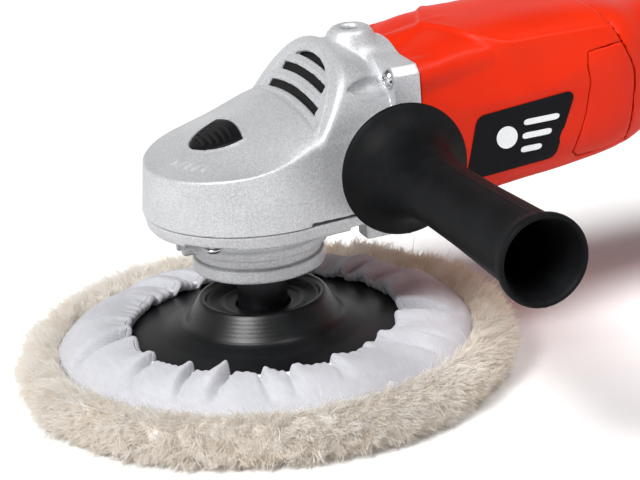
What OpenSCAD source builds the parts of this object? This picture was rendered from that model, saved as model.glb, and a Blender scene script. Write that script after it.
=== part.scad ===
// Rotary polisher: right-angle gear head, series motor, in-line rear handle,
// screw-in side handle and a backing pad in a gathered wool bonnet.
// Origin: on the spindle axis at the polishing face. +Z runs up the spindle,
// +X back along the motor and -Y out along the side handle. Millimetres.

/* [Bonnet and pad] */
// Radius of the wool pile
pile_r = 107; // [104:0.5:110]
// Height of the pile above the polishing face
pile_top_z = 20; // [19:0.5:21]
// Radius of the backing pad
pad_r = 89; // [88.5:0.1:89.5]
// Radius of the gathered opening in the skirt
skirt_open_r = 61.6; // [58:0.2:66]

/* [Spindle] */
// Radius of the pad nut below the head
nut_r = 11; // [10.5:0.1:12]
// Radius of the spindle in its ball bearing
spindle_r = 7.5; // [7.5:0.1:7.8]

/* [Bevel gears] */
// Number of teeth on the crown gear, a multiple of four
gear_teeth = 44; // [44:4:44]
// Number of teeth on the pinion
pinion_teeth = 11; // [11:1:11]
// Pitch radius of the crown gear, measured at the middle of its teeth
gear_r = 34; // [34:0.1:34.2]
// Pressure angle of the teeth
pressure = 25; // [24:0.5:25]

/* [Head casting] */
// Radius of the round front at its foot
drum_r = 48.5; // [48:0.1:49]
// Radius of the crease between the side wall and the dome
crease_r = 46.3; // [46:0.1:46.8]
// Height of the crease at the front
crease_z = 102; // [101.5:0.1:102.5]
// Height of the joint between the case and its cover
cover_z = 80; // [80:0.1:80.2]
// Half width of the rear flange
flange_y = 38.5; // [38:0.1:39]
// Where the flange meets the motor housing
flange_x = 65; // [65:0.1:65.1]
// Top of the upper handle boss
boss_top_z = 149; // [148:0.5:150]

/* [Motor] */
// Height of the motor axis
motor_z = 107; // [107:0.1:107.1]
// Where the motor housing meets the rear handle
seam_x = 165; // [165:0.1:165.2]
// Outer radius of the laminated stator
stator_r = 30.5; // [30:0.1:30.5]

/* [Handles] */
// Position of the side handle's axis behind the spindle
side_x = 45.6; // [45:0.1:46]
// Height of the side handle's axis
side_z = 102.3; // [102:0.1:102.6]
// Radius of the guard disc on the side handle
guard_r = 28.3; // [27:0.1:29]
// Distance from the spindle to the end of the side handle
side_end = 189.3; // [186:0.1:192]
// Where the rear handle ends
tail_x = 398; // [398:0.5:399]

/* [Hidden] */

$fn = 96;
eps = 0.01;

cast = "Silver";
steel = "LightSlateGray";
shell = "OrangeRed";
black = [0.08, 0.08, 0.09];
copper = "Chocolate";
cloth = "LightSteelBlue";
wool = "Wheat";

// Running clearance on a radius
running = 0.05;
// Gap round a moving button
button_gap = 0.3;

// Bevel gears: both pitch cones meet where the two axes cross
pinion_r = gear_r * pinion_teeth / gear_teeth;
tooth_m = 2 * gear_r / gear_teeth;
addendum = 0.8 * tooth_m;
dedendum = 1.25 * tooth_m;
backlash = 0.9;
tooth_in = 28 / gear_r;
tooth_out = 36 / gear_r;

web_top_z = 95.5;
roof_z = 98.5;
lock_x = -18;
lock_r = 2.5;
lock_travel = 3;
lock_floor_z = 103.3;
button_z = lock_floor_z + lock_travel + 0.2;

cover_screw_r = 43;
plate_z = 73.5;
collar_z = 51.3;
collar_r = 28.8;
neck_z = 62;
neck_r = 30.8;
// The cover stops short of the bearing plate
cover_end_x = 47.6;
case_bolts = [[-32, 132.5], [32, 132.5], [-32, 74], [32, 74]];
// Where the heads of the case screws seat, and how deep the screws reach
bolt_seat_x = 53.5;
bolt_end_x = 82;
handle_bolts = [[180, 90], [180, 131], [302, 92], [385, 92], [385, 124]];

// Slots in the hood's sloping face: distance up the face from its foot, half width
face_foot = [14, 0, 116.6];
face_tilt = 53;
slots = [[11, 27], [19.8, 23.5], [27.6, 16.5]];
slot_bow = 0.0035;
slot_h = 3.6;

brush_x = 144;
trigger_pivot = [230, 91];
trigger_half = 9.5;
dial_at = [212, 130];
lock_on_at = [252, 104];
cord_z = 108;
cord_bore_r = 4.1;

// Cross-sections of the shells: x, half width, bottom, top, squareness
hood_sections = [
    [8, 44.5, 64, 147, 2.4],
    [32, 42, 64, 146.5, 2.4],
    [42, 40.3, 64, 143, 2.4],
    [53, 38.5, 64, 137.5, 2.4],
    [60, 37.5, 64, 136.5, 2.4]
];
dome_rear = [
    [12, 44.6, 90, 121, 2.4],
    [18.6, 44, 90, 122.8, 2.4]
];
housing_sections = [
    [flange_x, 39, 67, 141.5, 5],
    [85, 40.5, 69, 144, 4],
    [110, 41, 71.5, 144.5, 3.6],
    [137, 40.5, 74, 144.5, 3.6],
    [seam_x, 38, 78.5, 143, 3.6]
];
handle_sections = [
    [seam_x, 38, 78.5, 143, 3.6],
    [178, 33, 81, 140.5, 3],
    [195, 29, 84, 139, 2.6],
    [218, 27, 84, 139, 2.6],
    [245, 24.5, 84, 133, 2.4],
    [330, 24, 85, 131, 2.4],
    [384, 27, 82, 134, 2.4],
    [tail_x, 25, 86, 130, 2.4]
];

// ---- Shared shapes ----

module x_cyl(x0, x1, r, y = 0, z = motor_z) {
    translate([x0, y, z]) rotate([0, 90, 0]) cylinder(h = x1 - x0, r = r);
}

module y_cyl(y0, y1, r, x, z) {
    translate([x, y0, z]) rotate([-90, 0, 0]) cylinder(h = y1 - y0, r = r);
}

// Box between two corners
module span(low, high) {
    translate(low) cube(high - low);
}

// Extrude an outline of y and z along x
module along_x(x0, x1) {
    translate([x0, 0, 0]) rotate([90, 0, 90]) linear_extrude(x1 - x0) children();
}

// Turn an outline of radius and x about the motor axis
module turned_x(points, z = motor_z) {
    translate([0, 0, z]) rotate([0, 90, 0]) rotate_extrude() polygon(points);
}

module rounded_rect(y0, z0, y1, z1, r) {
    translate([y0 + r, z0]) square([y1 - y0 - 2 * r, z1 - z0]);
    translate([y0, z0 + r]) square([y1 - y0, z1 - z0 - 2 * r]);
    for (y = [y0 + r, y1 - r], z = [z0 + r, z1 - r]) translate([y, z]) circle(r);
}

function power(v, e) = sign(v) * pow(abs(v), 2 / e);

function ring(s, inset, n) = [
    for (i = [0 : n - 1])
        let (t = 360 * i / n)
        [
            s[0],
            (s[1] - inset) * power(cos(t), s[4]),
            (s[2] + s[3]) / 2 + ((s[3] - s[2]) / 2 - inset) * power(sin(t), s[4])
        ]
];

// Closed skin over superelliptic cross-sections
module loft(sections, inset = 0, n = 40) {
    last = len(sections) - 1;
    points = [for (s = sections) each ring(s, inset, n)];
    sides = [
        for (j = [0 : last - 1], i = [0 : n - 1])
            let (a = j * n + i, d = j * n + (i + 1) % n)
            each [[a, a + n, d + n], [a, d + n, d]]
    ];
    front = [for (i = [0 : n - 1]) i];
    back = [for (i = [n - 1 : -1 : 0]) last * n + i];
    polyhedron(points, concat(sides, [front, back]));
}

// Helical spring about Z, from z = 0
module coil(length, r, turns, wire = 0.5) {
    steps = 12 * turns;
    sides = 6;
    points = [
        for (i = [0 : steps], k = [0 : sides - 1])
            let (
                a = 30 * i,
                out = r + wire * cos(60 * k),
                z = wire + (length - 2 * wire) * i / steps + wire * sin(60 * k)
            )
            [out * cos(a), out * sin(a), z]
    ];
    skin = [
        for (i = [0 : steps - 1], k = [0 : sides - 1])
            let (a = i * sides + k, d = i * sides + (k + 1) % sides)
            each [[a, d + sides, a + sides], [a, d, d + sides]]
    ];
    start = [for (k = [sides - 1 : -1 : 0]) k];
    end = [for (k = [0 : sides - 1]) steps * sides + k];
    polyhedron(points, concat(skin, [start, end]));
}

module pan_screw(head_r, head_h, shank_r, shank_l) {
    difference() {
        rotate_extrude() polygon([
            [0, -head_h], [head_r * 0.6, -head_h], [head_r * 0.9, -head_h * 0.7],
            [head_r, 0], [shank_r, 0], [shank_r, shank_l], [0, shank_l]
        ]);
        for (turn = [0, 90])
            rotate(turn) translate([-head_r * 0.6, -0.5, -head_h - eps])
                cube([head_r * 1.2, 1, head_h * 0.5]);
    }
}

// Ring of a deep-groove ball bearing about Z, from z = 0
module bearing_ring(r0, r1, width, track_r, ball_r) {
    rotate_extrude() difference() {
        translate([r0, 0]) square([r1 - r0, width]);
        translate([track_r, width / 2]) circle(ball_r + running);
    }
}

module bearing_balls(track_r, ball_r, width, count) {
    for (i = [0 : count - 1])
        rotate(i * 360 / count) translate([track_r, 0, width / 2]) sphere(ball_r, $fn = 32);
}

module on_motor_axis(x) {
    translate([x, 0, motor_z]) rotate([0, 90, 0]) children();
}

// ---- Gear head ----

// Domed roof over the round front, rising towards the hood
module dome() {
    hull() {
        translate([0, 0, crease_z - 2]) cylinder(h = 1.4, r = crease_r - 0.3, $fn = 64);
        translate([-2, 0, crease_z + 7]) cylinder(h = 1, r = 24, $fn = 64);
        loft(dome_rear);
    }
}

module on_face() {
    translate(face_foot) rotate([0, -face_tilt, 0]) children();
}

// Arch over the gears, cut off at a slant for the face with the vent slots
module hood(inset) {
    intersection() {
        loft(hood_sections, inset);
        on_face() translate([-60, -60, -90 - 0.6 * inset]) cube([150, 120, 90]);
        span([8, -60, cover_z + 10], [60, 60, 150]);
    }
}

module slot_boxes() {
    on_face() for (s = slots)
        translate([0, 0, -7]) linear_extrude(14) polygon([
            for (y = [-s[1] : s[1] / 8 : s[1]]) [s[0] + slot_h / 2 - slot_bow * y * y, y],
            for (y = [s[1] : -s[1] / 8 : -s[1]]) [s[0] - slot_h / 2 - slot_bow * y * y, y]
        ]);
}

// Space for the louvre behind the slots
module louvre_space() {
    intersection() {
        difference() {
            hood(5);
            hood(8);
        }
        span([18.5, -30, 108], [36, 30, 140]);
    }
}

// Plan outline of the spindle lock button
module shield(grow) {
    intersection() {
        intersection_for(k = [-1, 1])
            translate([-8.5, 2.4 * k]) circle(18 + grow);
        translate([-40, -30]) square([31.5 + grow, 60]);
    }
}

module case_outside() {
    translate([0, 0, cover_z])
        cylinder(h = crease_z - cover_z, r1 = drum_r, r2 = crease_r);
    dome();
    hull() {
        translate([0, 0, cover_z])
            cylinder(h = crease_z - cover_z - 0.7, r1 = drum_r - 0.6, r2 = crease_r - 0.6, $fn = 64);
        span([54, -41, cover_z], [60, 41, 112]);
    }
    hood(0);
    hull() {
        x_cyl(28, 29, 26, z = 108, $fn = 64);
        span([54, -34, 100], [56, 34, 136]);
    }
    along_x(54, flange_x) rounded_rect(-flange_y, 66.5, flange_y, 138, 8);
    x_cyl(50, flange_x, 35.5, z = 106.5);
    for (b = case_bolts) x_cyl(bolt_seat_x, flange_x, 5.5, b[0], b[1]);
    for (side = [0, 1]) mirror([0, side, 0]) span([36, 28, 65.5], [56, 38.3, 73.2]);
    intersection() {
        translate([50, 0, 134]) cylinder(h = boss_top_z - 134, r1 = 15.8, r2 = 8.4);
        span([20, -30, 100], [flange_x, 30, 160]);
    }
    y_cyl(-54, 54, 13, side_x, side_z);
}

module gear_case() {
    color(cast) difference() {
        case_outside();
        rotate_extrude() polygon([
            [0, cover_z - 1], [38, cover_z - 1], [38, 102.5], [26.2, 102.5],
            [26.2, roof_z], [0, roof_z]
        ]);
        translate([0, 0, roof_z - 1]) cylinder(h = 10.7, r = 8);
        x_cyl(26.5, 40, 11);
        x_cyl(19, 27, 7.5);
        x_cyl(36, 48.5, 20.2);
        x_cyl(48, flange_x + 1, 31);
        translate([0, 0, lock_floor_z]) linear_extrude(30) shield(button_gap);
        translate([lock_x, 0, roof_z - 1])
            cylinder(h = 10, r = lock_r + running);
        span([31, -14, 129], [50, 14, 134]);
        difference() {
            slot_boxes();
            hood(6);
        }
        louvre_space();
        for (side = [-1, 1])
            y_cyl(side < 0 ? -55 : 36, side < 0 ? -36 : 55, 4, side_x, side_z);
        translate([50, 0, 141]) cylinder(h = 20, r = 4);
        for (b = case_bolts) x_cyl(50, flange_x + 1, 2.2, b[0], b[1]);
        for (b = case_bolts) x_cyl(40, bolt_seat_x, 5, b[0], b[1]);
        for (a = [45 : 90 : 315])
            rotate(a) translate([cover_screw_r, 0, cover_z - 1]) cylinder(h = 13, r = 2);
    }
}

module gear_case_cover() {
    color(cast) difference() {
        union() {
            translate([0, 0, plate_z])
                cylinder(h = cover_z - plate_z, r1 = drum_r - 1.5, r2 = drum_r - 0.3);
            span([10, -34, plate_z], [cover_end_x, 34, cover_z]);
            translate([0, 0, neck_z]) cylinder(h = plate_z - neck_z + 1, r = neck_r);
            translate([0, 0, 57.9]) cylinder(h = 10, r = collar_r - 1);
            translate([0, 0, 56]) cylinder(h = 3, r = collar_r - 1.8);
            translate([0, 0, collar_z]) cylinder(h = 5.9, r = collar_r);
            span([-36, -5, neck_z], [-20, 5, plate_z + 1]);
        }
        translate([0, 0, 58]) cylinder(h = 30, r = 17.5);
        translate([0, 0, 50]) cylinder(h = 9, r = 12);
        translate([0, 0, 76]) cylinder(h = 9, r = 36);
        for (a = [45 : 90 : 315])
            rotate(a) translate([cover_screw_r, 0, plate_z - 1]) cylinder(h = 13, r = 2.2);
    }
}

module cover_screws() {
    color(steel) for (a = [45 : 90 : 315])
        rotate(a) translate([cover_screw_r, 0, plate_z]) pan_screw(4, 2.8, 1.95, 15);
}

module case_screws() {
    color(steel) for (b = case_bolts)
        translate([bolt_seat_x, b[0], b[1]]) rotate([0, 90, 0])
            pan_screw(4.2, 3.2, 2, bolt_end_x - bolt_seat_x);
}

module vent_insert() {
    color(black) louvre_space();
}

module lower_bearing_outer() {
    color(steel) translate([0, 0, 58]) bearing_ring(14.5, 17.5, 11, 12.75, 2.8);
}

module upper_bush() {
    color("Goldenrod") translate([0, 0, roof_z]) difference() {
        cylinder(h = 9, r = 8);
        translate([0, 0, -1]) cylinder(h = 11, r = 5 + running);
    }
}

module dust_seal() {
    color(black) translate([0, 0, 52]) difference() {
        cylinder(h = 5, r = 12);
        translate([0, 0, -1]) cylinder(h = 7, r = 10 + running);
    }
}

module bearing_plate() {
    color(cast) difference() {
        turned_x([
            [11, 40], [20.2, 40], [20.2, 48], [31, 48], [31, 54], [16, 54], [16, 42], [11, 42]
        ]);
        span([46, -12, 129], [56, 12, 134.5]);
    }
}

module rotor_bearing_outers() {
    color(steel) {
        on_motor_axis(42) bearing_ring(12.8, 16, 10, 11.1, 2.6);
        on_motor_axis(156) bearing_ring(8.8, 11, 7, 7.5, 2);
    }
}

// ---- Motor ----

module stator_core() {
    color(steel) difference() {
        x_cyl(80, 125, stator_r);
        x_cyl(79, 126, 19.2);
        difference() {
            x_cyl(79, 126, 25);
            span([70, -15, motor_z - 40], [130, 15, motor_z + 40]);
        }
    }
}

module field_coils() {
    color(copper) difference() {
        x_cyl(76.5, 129, 24.8);
        x_cyl(76, 130, 20);
        span([79.5, -15.2, motor_z - 40], [125.5, 15.2, motor_z + 40]);
    }
}

module fan_baffle() {
    color(black) turned_x([[22, 73.5], [31.5, 73.5], [31.5, 75.5], [22, 75.5]]);
}

module brush_cover_region(side, gap) {
    y = 34.5 + gap;
    mirror([0, side < 0 ? 1 : 0, 0])
        span([139 + gap, y, 84 + gap], [162.5 - gap, 60, 128 - gap]);
}

module motor_housing() {
    color(shell) difference() {
        union() {
            loft(housing_sections);
            for (b = case_bolts) {
                x_cyl(flange_x, 84, 5.5, b[0], b[1]);
                translate([84, b[0], b[1]]) rotate([0, 90, 0]) cylinder(h = 18, r1 = 5.5, r2 = 1);
            }
        }
        x_cyl(flange_x - 1, 78, 31.5);
        x_cyl(77, 126, stator_r);
        x_cyl(125, 154, 27);
        x_cyl(153, 163, 11);
        x_cyl(162, seam_x + 1, 8);
        for (a = [0 : 60 : 300])
            x_cyl(153, seam_x + 1, 3.5, 19 * sin(a), motor_z + 19 * cos(a));
        for (b = case_bolts) x_cyl(flange_x - 1, 83, 2.1, b[0], b[1]);
        for (side = [-1, 1]) {
            brush_cover_region(side, 0);
            brush_pocket(side);
        }
    }
}

module brush_pocket(side) {
    mirror([0, side < 0 ? 1 : 0, 0])
        span([137.5, 20, 102], [150.5, 36, 112]);
}

module badge(side) {
    color(black) intersection() {
        difference() {
            loft(housing_sections, -0.5);
            loft(housing_sections);
        }
        rotate([90, 0, 0]) mirror([0, 0, side < 0 ? 0 : 1]) linear_extrude(60)
            polygon([[84, 83], [126, 84.5], [135, 113], [92, 111.5]]);
    }
}

module badge_left() {
    badge(-1);
}

module badge_right() {
    badge(1);
}

module brush_holders() {
    color("Goldenrod") for (side = [0, 1])
        mirror([0, side, 0]) difference() {
            span([137.5, 14, 102], [150.5, 33, 112]);
            span([139.45, 13, 103.95], [148.55, 32, 110.05]);
        }
}

module carbon_brushes() {
    color(black) for (side = [0, 1])
        mirror([0, side, 0]) span([139.5, 11.3, 104], [148.5, 24, 110]);
}

module brush_springs() {
    color(steel) for (side = [0, 1])
        mirror([0, side, 0])
            translate([brush_x, 24, motor_z]) rotate([-90, 0, 0]) coil(8, 2, 5);
}

module brush_cover(side) {
    color(shell) intersection() {
        loft(housing_sections);
        brush_cover_region(side, 0.25);
    }
}

module brush_cover_left() {
    brush_cover(-1);
}

module brush_cover_right() {
    brush_cover(1);
}

// ---- Rear handle ----

module handle_inside() {
    loft([for (s = handle_sections) [
        s[0] == tail_x ? tail_x - 3.5 : s[0] == seam_x ? seam_x - 1 : s[0], s[1], s[2], s[3], s[4]
    ]], 3);
}

// Bosses and ribs that both halves carry
module handle_supports() {
    for (b = handle_bolts) y_cyl(-40, 40, 4.5, b[0], b[1]);
    y_cyl(-40, 40, 5, trigger_pivot[0], trigger_pivot[1]);
    difference() {
        y_cyl(-40, 40, 4.5, dial_at[0], dial_at[1]);
        y_cyl(-5, 5, 6, dial_at[0], dial_at[1]);
    }
    for (x = [250, 272]) span([x, -40, 118], [x + 4, 40, 140]);
    for (x = [310, 330]) span([x, -40, 80], [x + 4, 40, 98]);
    span([370, -40, 80], [380, 40, 96]);
}

module trigger_window(gap = 0) {
    span([221, -10 - gap, 60], [297, 10 + gap, 98]);
}

module dial_window(gap = 0) {
    span([198, -4 - gap, 120], [226, 4 + gap, 160]);
}

module handle_half(side) {
    color(shell) difference() {
        intersection() {
            union() {
                difference() {
                    loft(handle_sections);
                    handle_inside();
                }
                intersection() {
                    loft(handle_sections, 1);
                    handle_supports();
                }
            }
            mirror([0, side < 0 ? 1 : 0, 0]) span([seam_x, 0, 60], [420, 60, 160]);
        }
        trigger_window();
        dial_window();
        for (b = handle_bolts) {
            y_cyl(-14, 17, 1.8, b[0], b[1]);
            y_cyl(16, 60, 3.8, b[0], b[1]);
        }
        y_cyl(-16, 16, 2, trigger_pivot[0], trigger_pivot[1]);
        y_cyl(-8.2, 8.2, 2 + running, dial_at[0], dial_at[1]);
        y_cyl(-60, -12, 5 + button_gap, lock_on_at[0], lock_on_at[1]);
        x_cyl(390, tail_x + 1, 8, z = cord_z);
    }
}

module rear_handle_left() {
    handle_half(-1);
}

module rear_handle_right() {
    handle_half(1);
}

module grip_pad(side) {
    color(black) difference() {
        intersection() {
            loft(handle_sections, -1.2);
            mirror([0, side < 0 ? 1 : 0, 0]) span([240, 7, 60], [383, 60, 160]);
        }
        loft(handle_sections);
        trigger_window(1);
        for (b = handle_bolts) y_cyl(16, 60, 4, b[0], b[1]);
        y_cyl(-60, -12, 6, lock_on_at[0], lock_on_at[1]);
    }
}

module grip_pad_left() {
    grip_pad(-1);
}

module grip_pad_right() {
    grip_pad(1);
}

module handle_screws() {
    color(steel) for (b = handle_bolts)
        translate([b[0], 16, b[1]]) rotate([90, 0, 0]) pan_screw(3.5, 2.6, 1.75, 29);
}

module switch_body() {
    color(black) difference() {
        span([238, -10, 100], [286, 10, 118]);
        for (x = [241, 283]) y_cyl(-11, 11, 1.5, x, 115);
    }
}

module speed_module() {
    color("DarkGreen") {
        span([306, -12, 98], [340, 12, 100]);
        span([309, -9, 100], [325, 9, 112]);
        for (y = [-5, 5]) translate([333, y, 100]) cylinder(h = 10, r = 4);
    }
}

module trigger_pin() {
    color(steel) y_cyl(-16, 16, 2, trigger_pivot[0], trigger_pivot[1]);
}

module trigger_spring() {
    color(steel) translate([276, 0, 93]) coil(7, 3, 4);
}

module trigger() {
    color(black) difference() {
        translate([0, trigger_half, 0]) rotate([90, 0, 0]) linear_extrude(2 * trigger_half)
            polygon([
                [224, 93], [291, 93], [292, 87], [287, 79.5], [276, 75.5], [262, 75],
                [244, 78], [229, 84.5], [224.5, 88]
            ]);
        y_cyl(-20, 20, 2 + running, trigger_pivot[0], trigger_pivot[1]);
    }
}

module lock_on_button() {
    color(black) {
        y_cyl(-28.5, -14.5, 5, lock_on_at[0], lock_on_at[1]);
        y_cyl(-19.2, -17.7, 6.5, lock_on_at[0], lock_on_at[1]);
    }
}

module speed_dial() {
    color(black) difference() {
        union() {
            y_cyl(-3.5, 3.5, 12, dial_at[0], dial_at[1]);
            y_cyl(-8, 8, 2, dial_at[0], dial_at[1]);
        }
        for (a = [0 : 15 : 345])
            y_cyl(-4, 4, 0.8, dial_at[0] + 12.3 * sin(a), dial_at[1] + 12.3 * cos(a));
    }
}

module cord_gland() {
    color(black) turned_x([
        [cord_bore_r, 390.5], [11, 390.5], [11, 394.5], [8, 394.5], [8, tail_x],
        [5.6, 432], [cord_bore_r, 432]
    ], cord_z);
}

module cord_clamp() {
    color(black) difference() {
        span([371, -9, 96], [379, 9, 116]);
        x_cyl(370, 380, cord_bore_r, z = cord_z);
    }
}

// ---- Side handle ----

module side_handle_grip() {
    color(black) translate([side_x, 0, side_z]) rotate([90, 0, 0]) rotate_extrude() polygon([
        [4, 54], [12, 54], [12, 58.5], [20, 59.2], [guard_r, 60.5], [guard_r, 62.5],
        [25, 65], [20, 70], [16.5, 77.5], [14.6, 88], [14, 102], [14.3, 130],
        [15.8, 172], [16.4, 181], [18.7, side_end - 3], [18.7, side_end],
        [16.8, side_end], [14.5, 182], [12, 172], [10.5, 110], [6, 105], [0, 105],
        [0, 90], [4, 90]
    ]);
}

module side_handle_stud() {
    color(steel) y_cyl(-89, -38, 3.95, side_x, side_z);
}

// ---- Spindle group ----

module spindle() {
    color(steel) rotate_extrude() polygon([
        [0, 27], [6.4, 27], [6.9, 28], [6.9, 50], [10, 50], [10, 58], [spindle_r, 58],
        [spindle_r, 69], [9, 69], [9, 95.5], [8, 95.5], [8, 97], [5, 97], [5, 107], [0, 107]
    ]);
}

module crown_tooth() {
    half = PI * tooth_m / 4 * backlash;
    low = -pinion_r - dedendum - 0.2;
    high = -pinion_r + addendum;
    wide = half + (dedendum + 0.2) * tan(pressure);
    narrow = half - addendum * tan(pressure);
    corners = [[-wide, low], [-narrow, high], [narrow, high], [wide, low]];
    points = [for (k = [tooth_in, tooth_out], p = corners)
        k * [gear_r, p[0], p[1]] + [0, 0, motor_z]];
    polyhedron(points, [
        [3, 2, 1, 0], [4, 5, 6, 7], [0, 1, 5, 4], [1, 2, 6, 5], [2, 3, 7, 6], [3, 0, 4, 7]
    ]);
}

module crown_gear() {
    root = (pinion_r + dedendum) / gear_r;
    color(steel) difference() {
        union() {
            rotate_extrude() polygon([
                [9, 82], [14, 82], [15, 88], [34, 88], [36.5, 90], [36.5, motor_z - 36.5 * root],
                [27.2, motor_z - 27.2 * root], [26.8, web_top_z], [9, web_top_z]
            ]);
            for (i = [0 : gear_teeth - 1])
                rotate((i + 0.5) * 360 / gear_teeth) crown_tooth();
        }
        for (a = [0 : 90 : 270])
            rotate(a) translate([lock_x, 0, 85]) cylinder(h = 15, r = lock_r + 0.4);
    }
}

module gear_circlip() {
    color(steel) translate([0, 0, web_top_z]) difference() {
        cylinder(h = 1.5, r = 11);
        translate([0, 0, -1]) cylinder(h = 4, r = 8);
        translate([0, -1.5, -1]) cube([14, 3, 4]);
    }
}

module lower_bearing_inner() {
    color(steel) translate([0, 0, 58]) bearing_ring(spindle_r, 11, 11, 12.75, 2.8);
}

module lower_bearing_balls() {
    color(steel) translate([0, 0, 58]) bearing_balls(12.75, 2.8, 11, 9);
}

module pad_nut() {
    color(black) difference() {
        union() {
            translate([0, 0, 30]) cylinder(h = 20, r = nut_r);
            translate([0, 0, 25]) cylinder(h = 6, r = 17);
        }
        translate([0, 0, 20]) cylinder(h = 40, r = 7);
    }
}

module backing_pad() {
    color(black) rotate_extrude() polygon([
        [0, 10], [84, 10], [pad_r - 1.5, 11.5], [pad_r, 14], [pad_r - 1, 16.5], [80, 18.2],
        [62, 20.3], [45, 23.2], [34.5, 26.6], [27.6, 37], [25, 37], [22.5, 33.5],
        [nut_r + 1, 33], [nut_r + 1, 31], [17, 31], [17, 25], [0, 25]
    ]);
}

module bonnet_pile() {
    color(wool) rotate_extrude() polygon([
        [0, 0], [pile_r - 9, 0], [pile_r - 3, 3], [pile_r, 8], [pile_r - 1, 14],
        [pile_r - 5, 18.5], [pile_r - 10, pile_top_z], [pile_r - 14, 18.5],
        [91.3, 15], [91, 9.7], [0, 9.7]
    ]);
}

module bonnet_skirt() {
    color(cloth) rotate_extrude() difference() {
        union() {
            polygon([
                [pad_r + 0.2, 10], [pad_r + 1.8, 10], [pad_r + 1.8, 16], [pad_r - 1, 19.4],
                [81, 21.3], [skirt_open_r, 23.6], [skirt_open_r, 21], [80, 18.8],
                [pad_r - 0.5, 17.2], [pad_r + 0.2, 15]
            ]);
            translate([skirt_open_r, 22.7]) circle(2.1);
        }
        translate([skirt_open_r, 22.7]) circle(1.2);
    }
}

module bonnet_elastic() {
    color("White") rotate_extrude() translate([skirt_open_r, 22.7]) circle(1.15);
}

// ---- Rotor ----

module armature_shaft() {
    color(steel) turned_x([
        [0, 20], [3.5, 20], [4, 20.5], [4, 27.5], [4.5, 27.5], [4.5, 42], [6, 42], [6, 52],
        [7, 52], [7, 132.5], [6, 132.5], [6, 156], [4, 156], [4, 164], [0, 164]
    ]);
}

module armature_core() {
    color(steel) difference() {
        x_cyl(80, 125, 18.7);
        x_cyl(79, 126, 7);
        for (a = [0 : 30 : 330])
            x_cyl(79, 126, 1.8, 15 * sin(a), motor_z + 15 * cos(a));
    }
}

module armature_windings() {
    color(copper) {
        turned_x([[7, 76], [14, 75], [17, 77], [17, 79.9], [7, 79.9]]);
        turned_x([[7, 125.1], [17, 125.1], [17, 129], [12, 132], [7, 132]]);
        for (a = [0 : 30 : 330])
            x_cyl(78, 127, 1.75, 15 * sin(a), motor_z + 15 * cos(a));
    }
}

module commutator() {
    color(copper) difference() {
        turned_x([[6, 134], [12.5, 134], [12.5, 136], [11, 136.5], [11, 153], [6, 153]]);
        for (a = [0 : 15 : 345])
            translate([0, 0, motor_z]) rotate([a, 0, 0])
                span([137, -0.2, 10.4], [154, 0.2, 12]);
    }
}

module fan() {
    color(black) {
        turned_x([[7, 57], [12, 57], [13, 68], [29.5, 70.5], [29.5, 72], [7, 72]]);
        for (a = [0 : 30 : 330])
            translate([0, 0, motor_z]) rotate([a, 0, 0])
                span([59, -0.8, 11], [71, 0.8, 28.5]);
    }
}

// Polar points of one flank of an involute tooth, from its root to its tip
function involute_deg(r, base) = tan(acos(base / r)) * 180 / PI - acos(base / r);

function flank(side) =
    let (
        base = pinion_r * cos(pressure),
        root = pinion_r - dedendum,
        tip = pinion_r + addendum,
        half = 90 / pinion_teeth * backlash + involute_deg(pinion_r, base),
        radii = [for (i = [0 : 5]) base + (tip - base) * i / 5],
        rising = concat([[root, half]], [for (r = radii) [r, half - involute_deg(r, base)]])
    )
    side < 0 ? [for (p = rising) [p[0], -p[1]]]
             : [for (i = [len(rising) - 1 : -1 : 0]) rising[i]];

module pinion() {
    outline = [
        for (i = [0 : pinion_teeth - 1])
            each [for (p = concat(flank(-1), flank(1)))
                let (a = i * 360 / pinion_teeth + p[1])
                p[0] * [cos(a), sin(a)]]
    ];
    color(steel) difference() {
        union() {
            translate([gear_r * tooth_in, 0, motor_z]) rotate([0, 90, 0])
                linear_extrude(gear_r * (tooth_out - tooth_in), scale = tooth_out / tooth_in)
                    scale(tooth_in) polygon(outline);
            x_cyl(gear_r * tooth_out - 1, 42, 7);
        }
        x_cyl(27, 43, 4.5);
    }
}

module pinion_nut() {
    color(steel) difference() {
        translate([21.5, 0, motor_z]) rotate([0, 90, 0]) cylinder(h = 6, r = 6, $fn = 6);
        x_cyl(21, 29, 4);
    }
}

module rotor_bearing_inners() {
    color(steel) {
        on_motor_axis(42) bearing_ring(6, 9.4, 10, 11.1, 2.6);
        on_motor_axis(156) bearing_ring(4, 6.2, 7, 7.5, 2);
    }
}

module rotor_bearing_balls() {
    color(steel) {
        on_motor_axis(42) bearing_balls(11.1, 2.6, 10, 9);
        on_motor_axis(156) bearing_balls(7.5, 2, 7, 8);
    }
}

// ---- Spindle lock ----

module spindle_lock_button() {
    color(black) difference() {
        intersection() {
            translate([0, 0, button_z]) linear_extrude(30) shield(0);
            translate([0, 0, 0.8]) dome();
        }
        for (x = [-13, -16, -19])
            span([x - 0.6, -9, crease_z + 11.1 + (x + 16) * 0.3], [x + 0.6, 9, 130]);
    }
}

module spindle_lock_pin() {
    color(steel) translate([lock_x, 0, 96.3]) cylinder(h = button_z - 96.3, r = lock_r);
}

module lock_spring() {
    color(steel) translate([lock_x, 0, lock_floor_z + 0.5]) coil(button_z - lock_floor_z - 1, 3.6, 2, 0.25);
}

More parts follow.
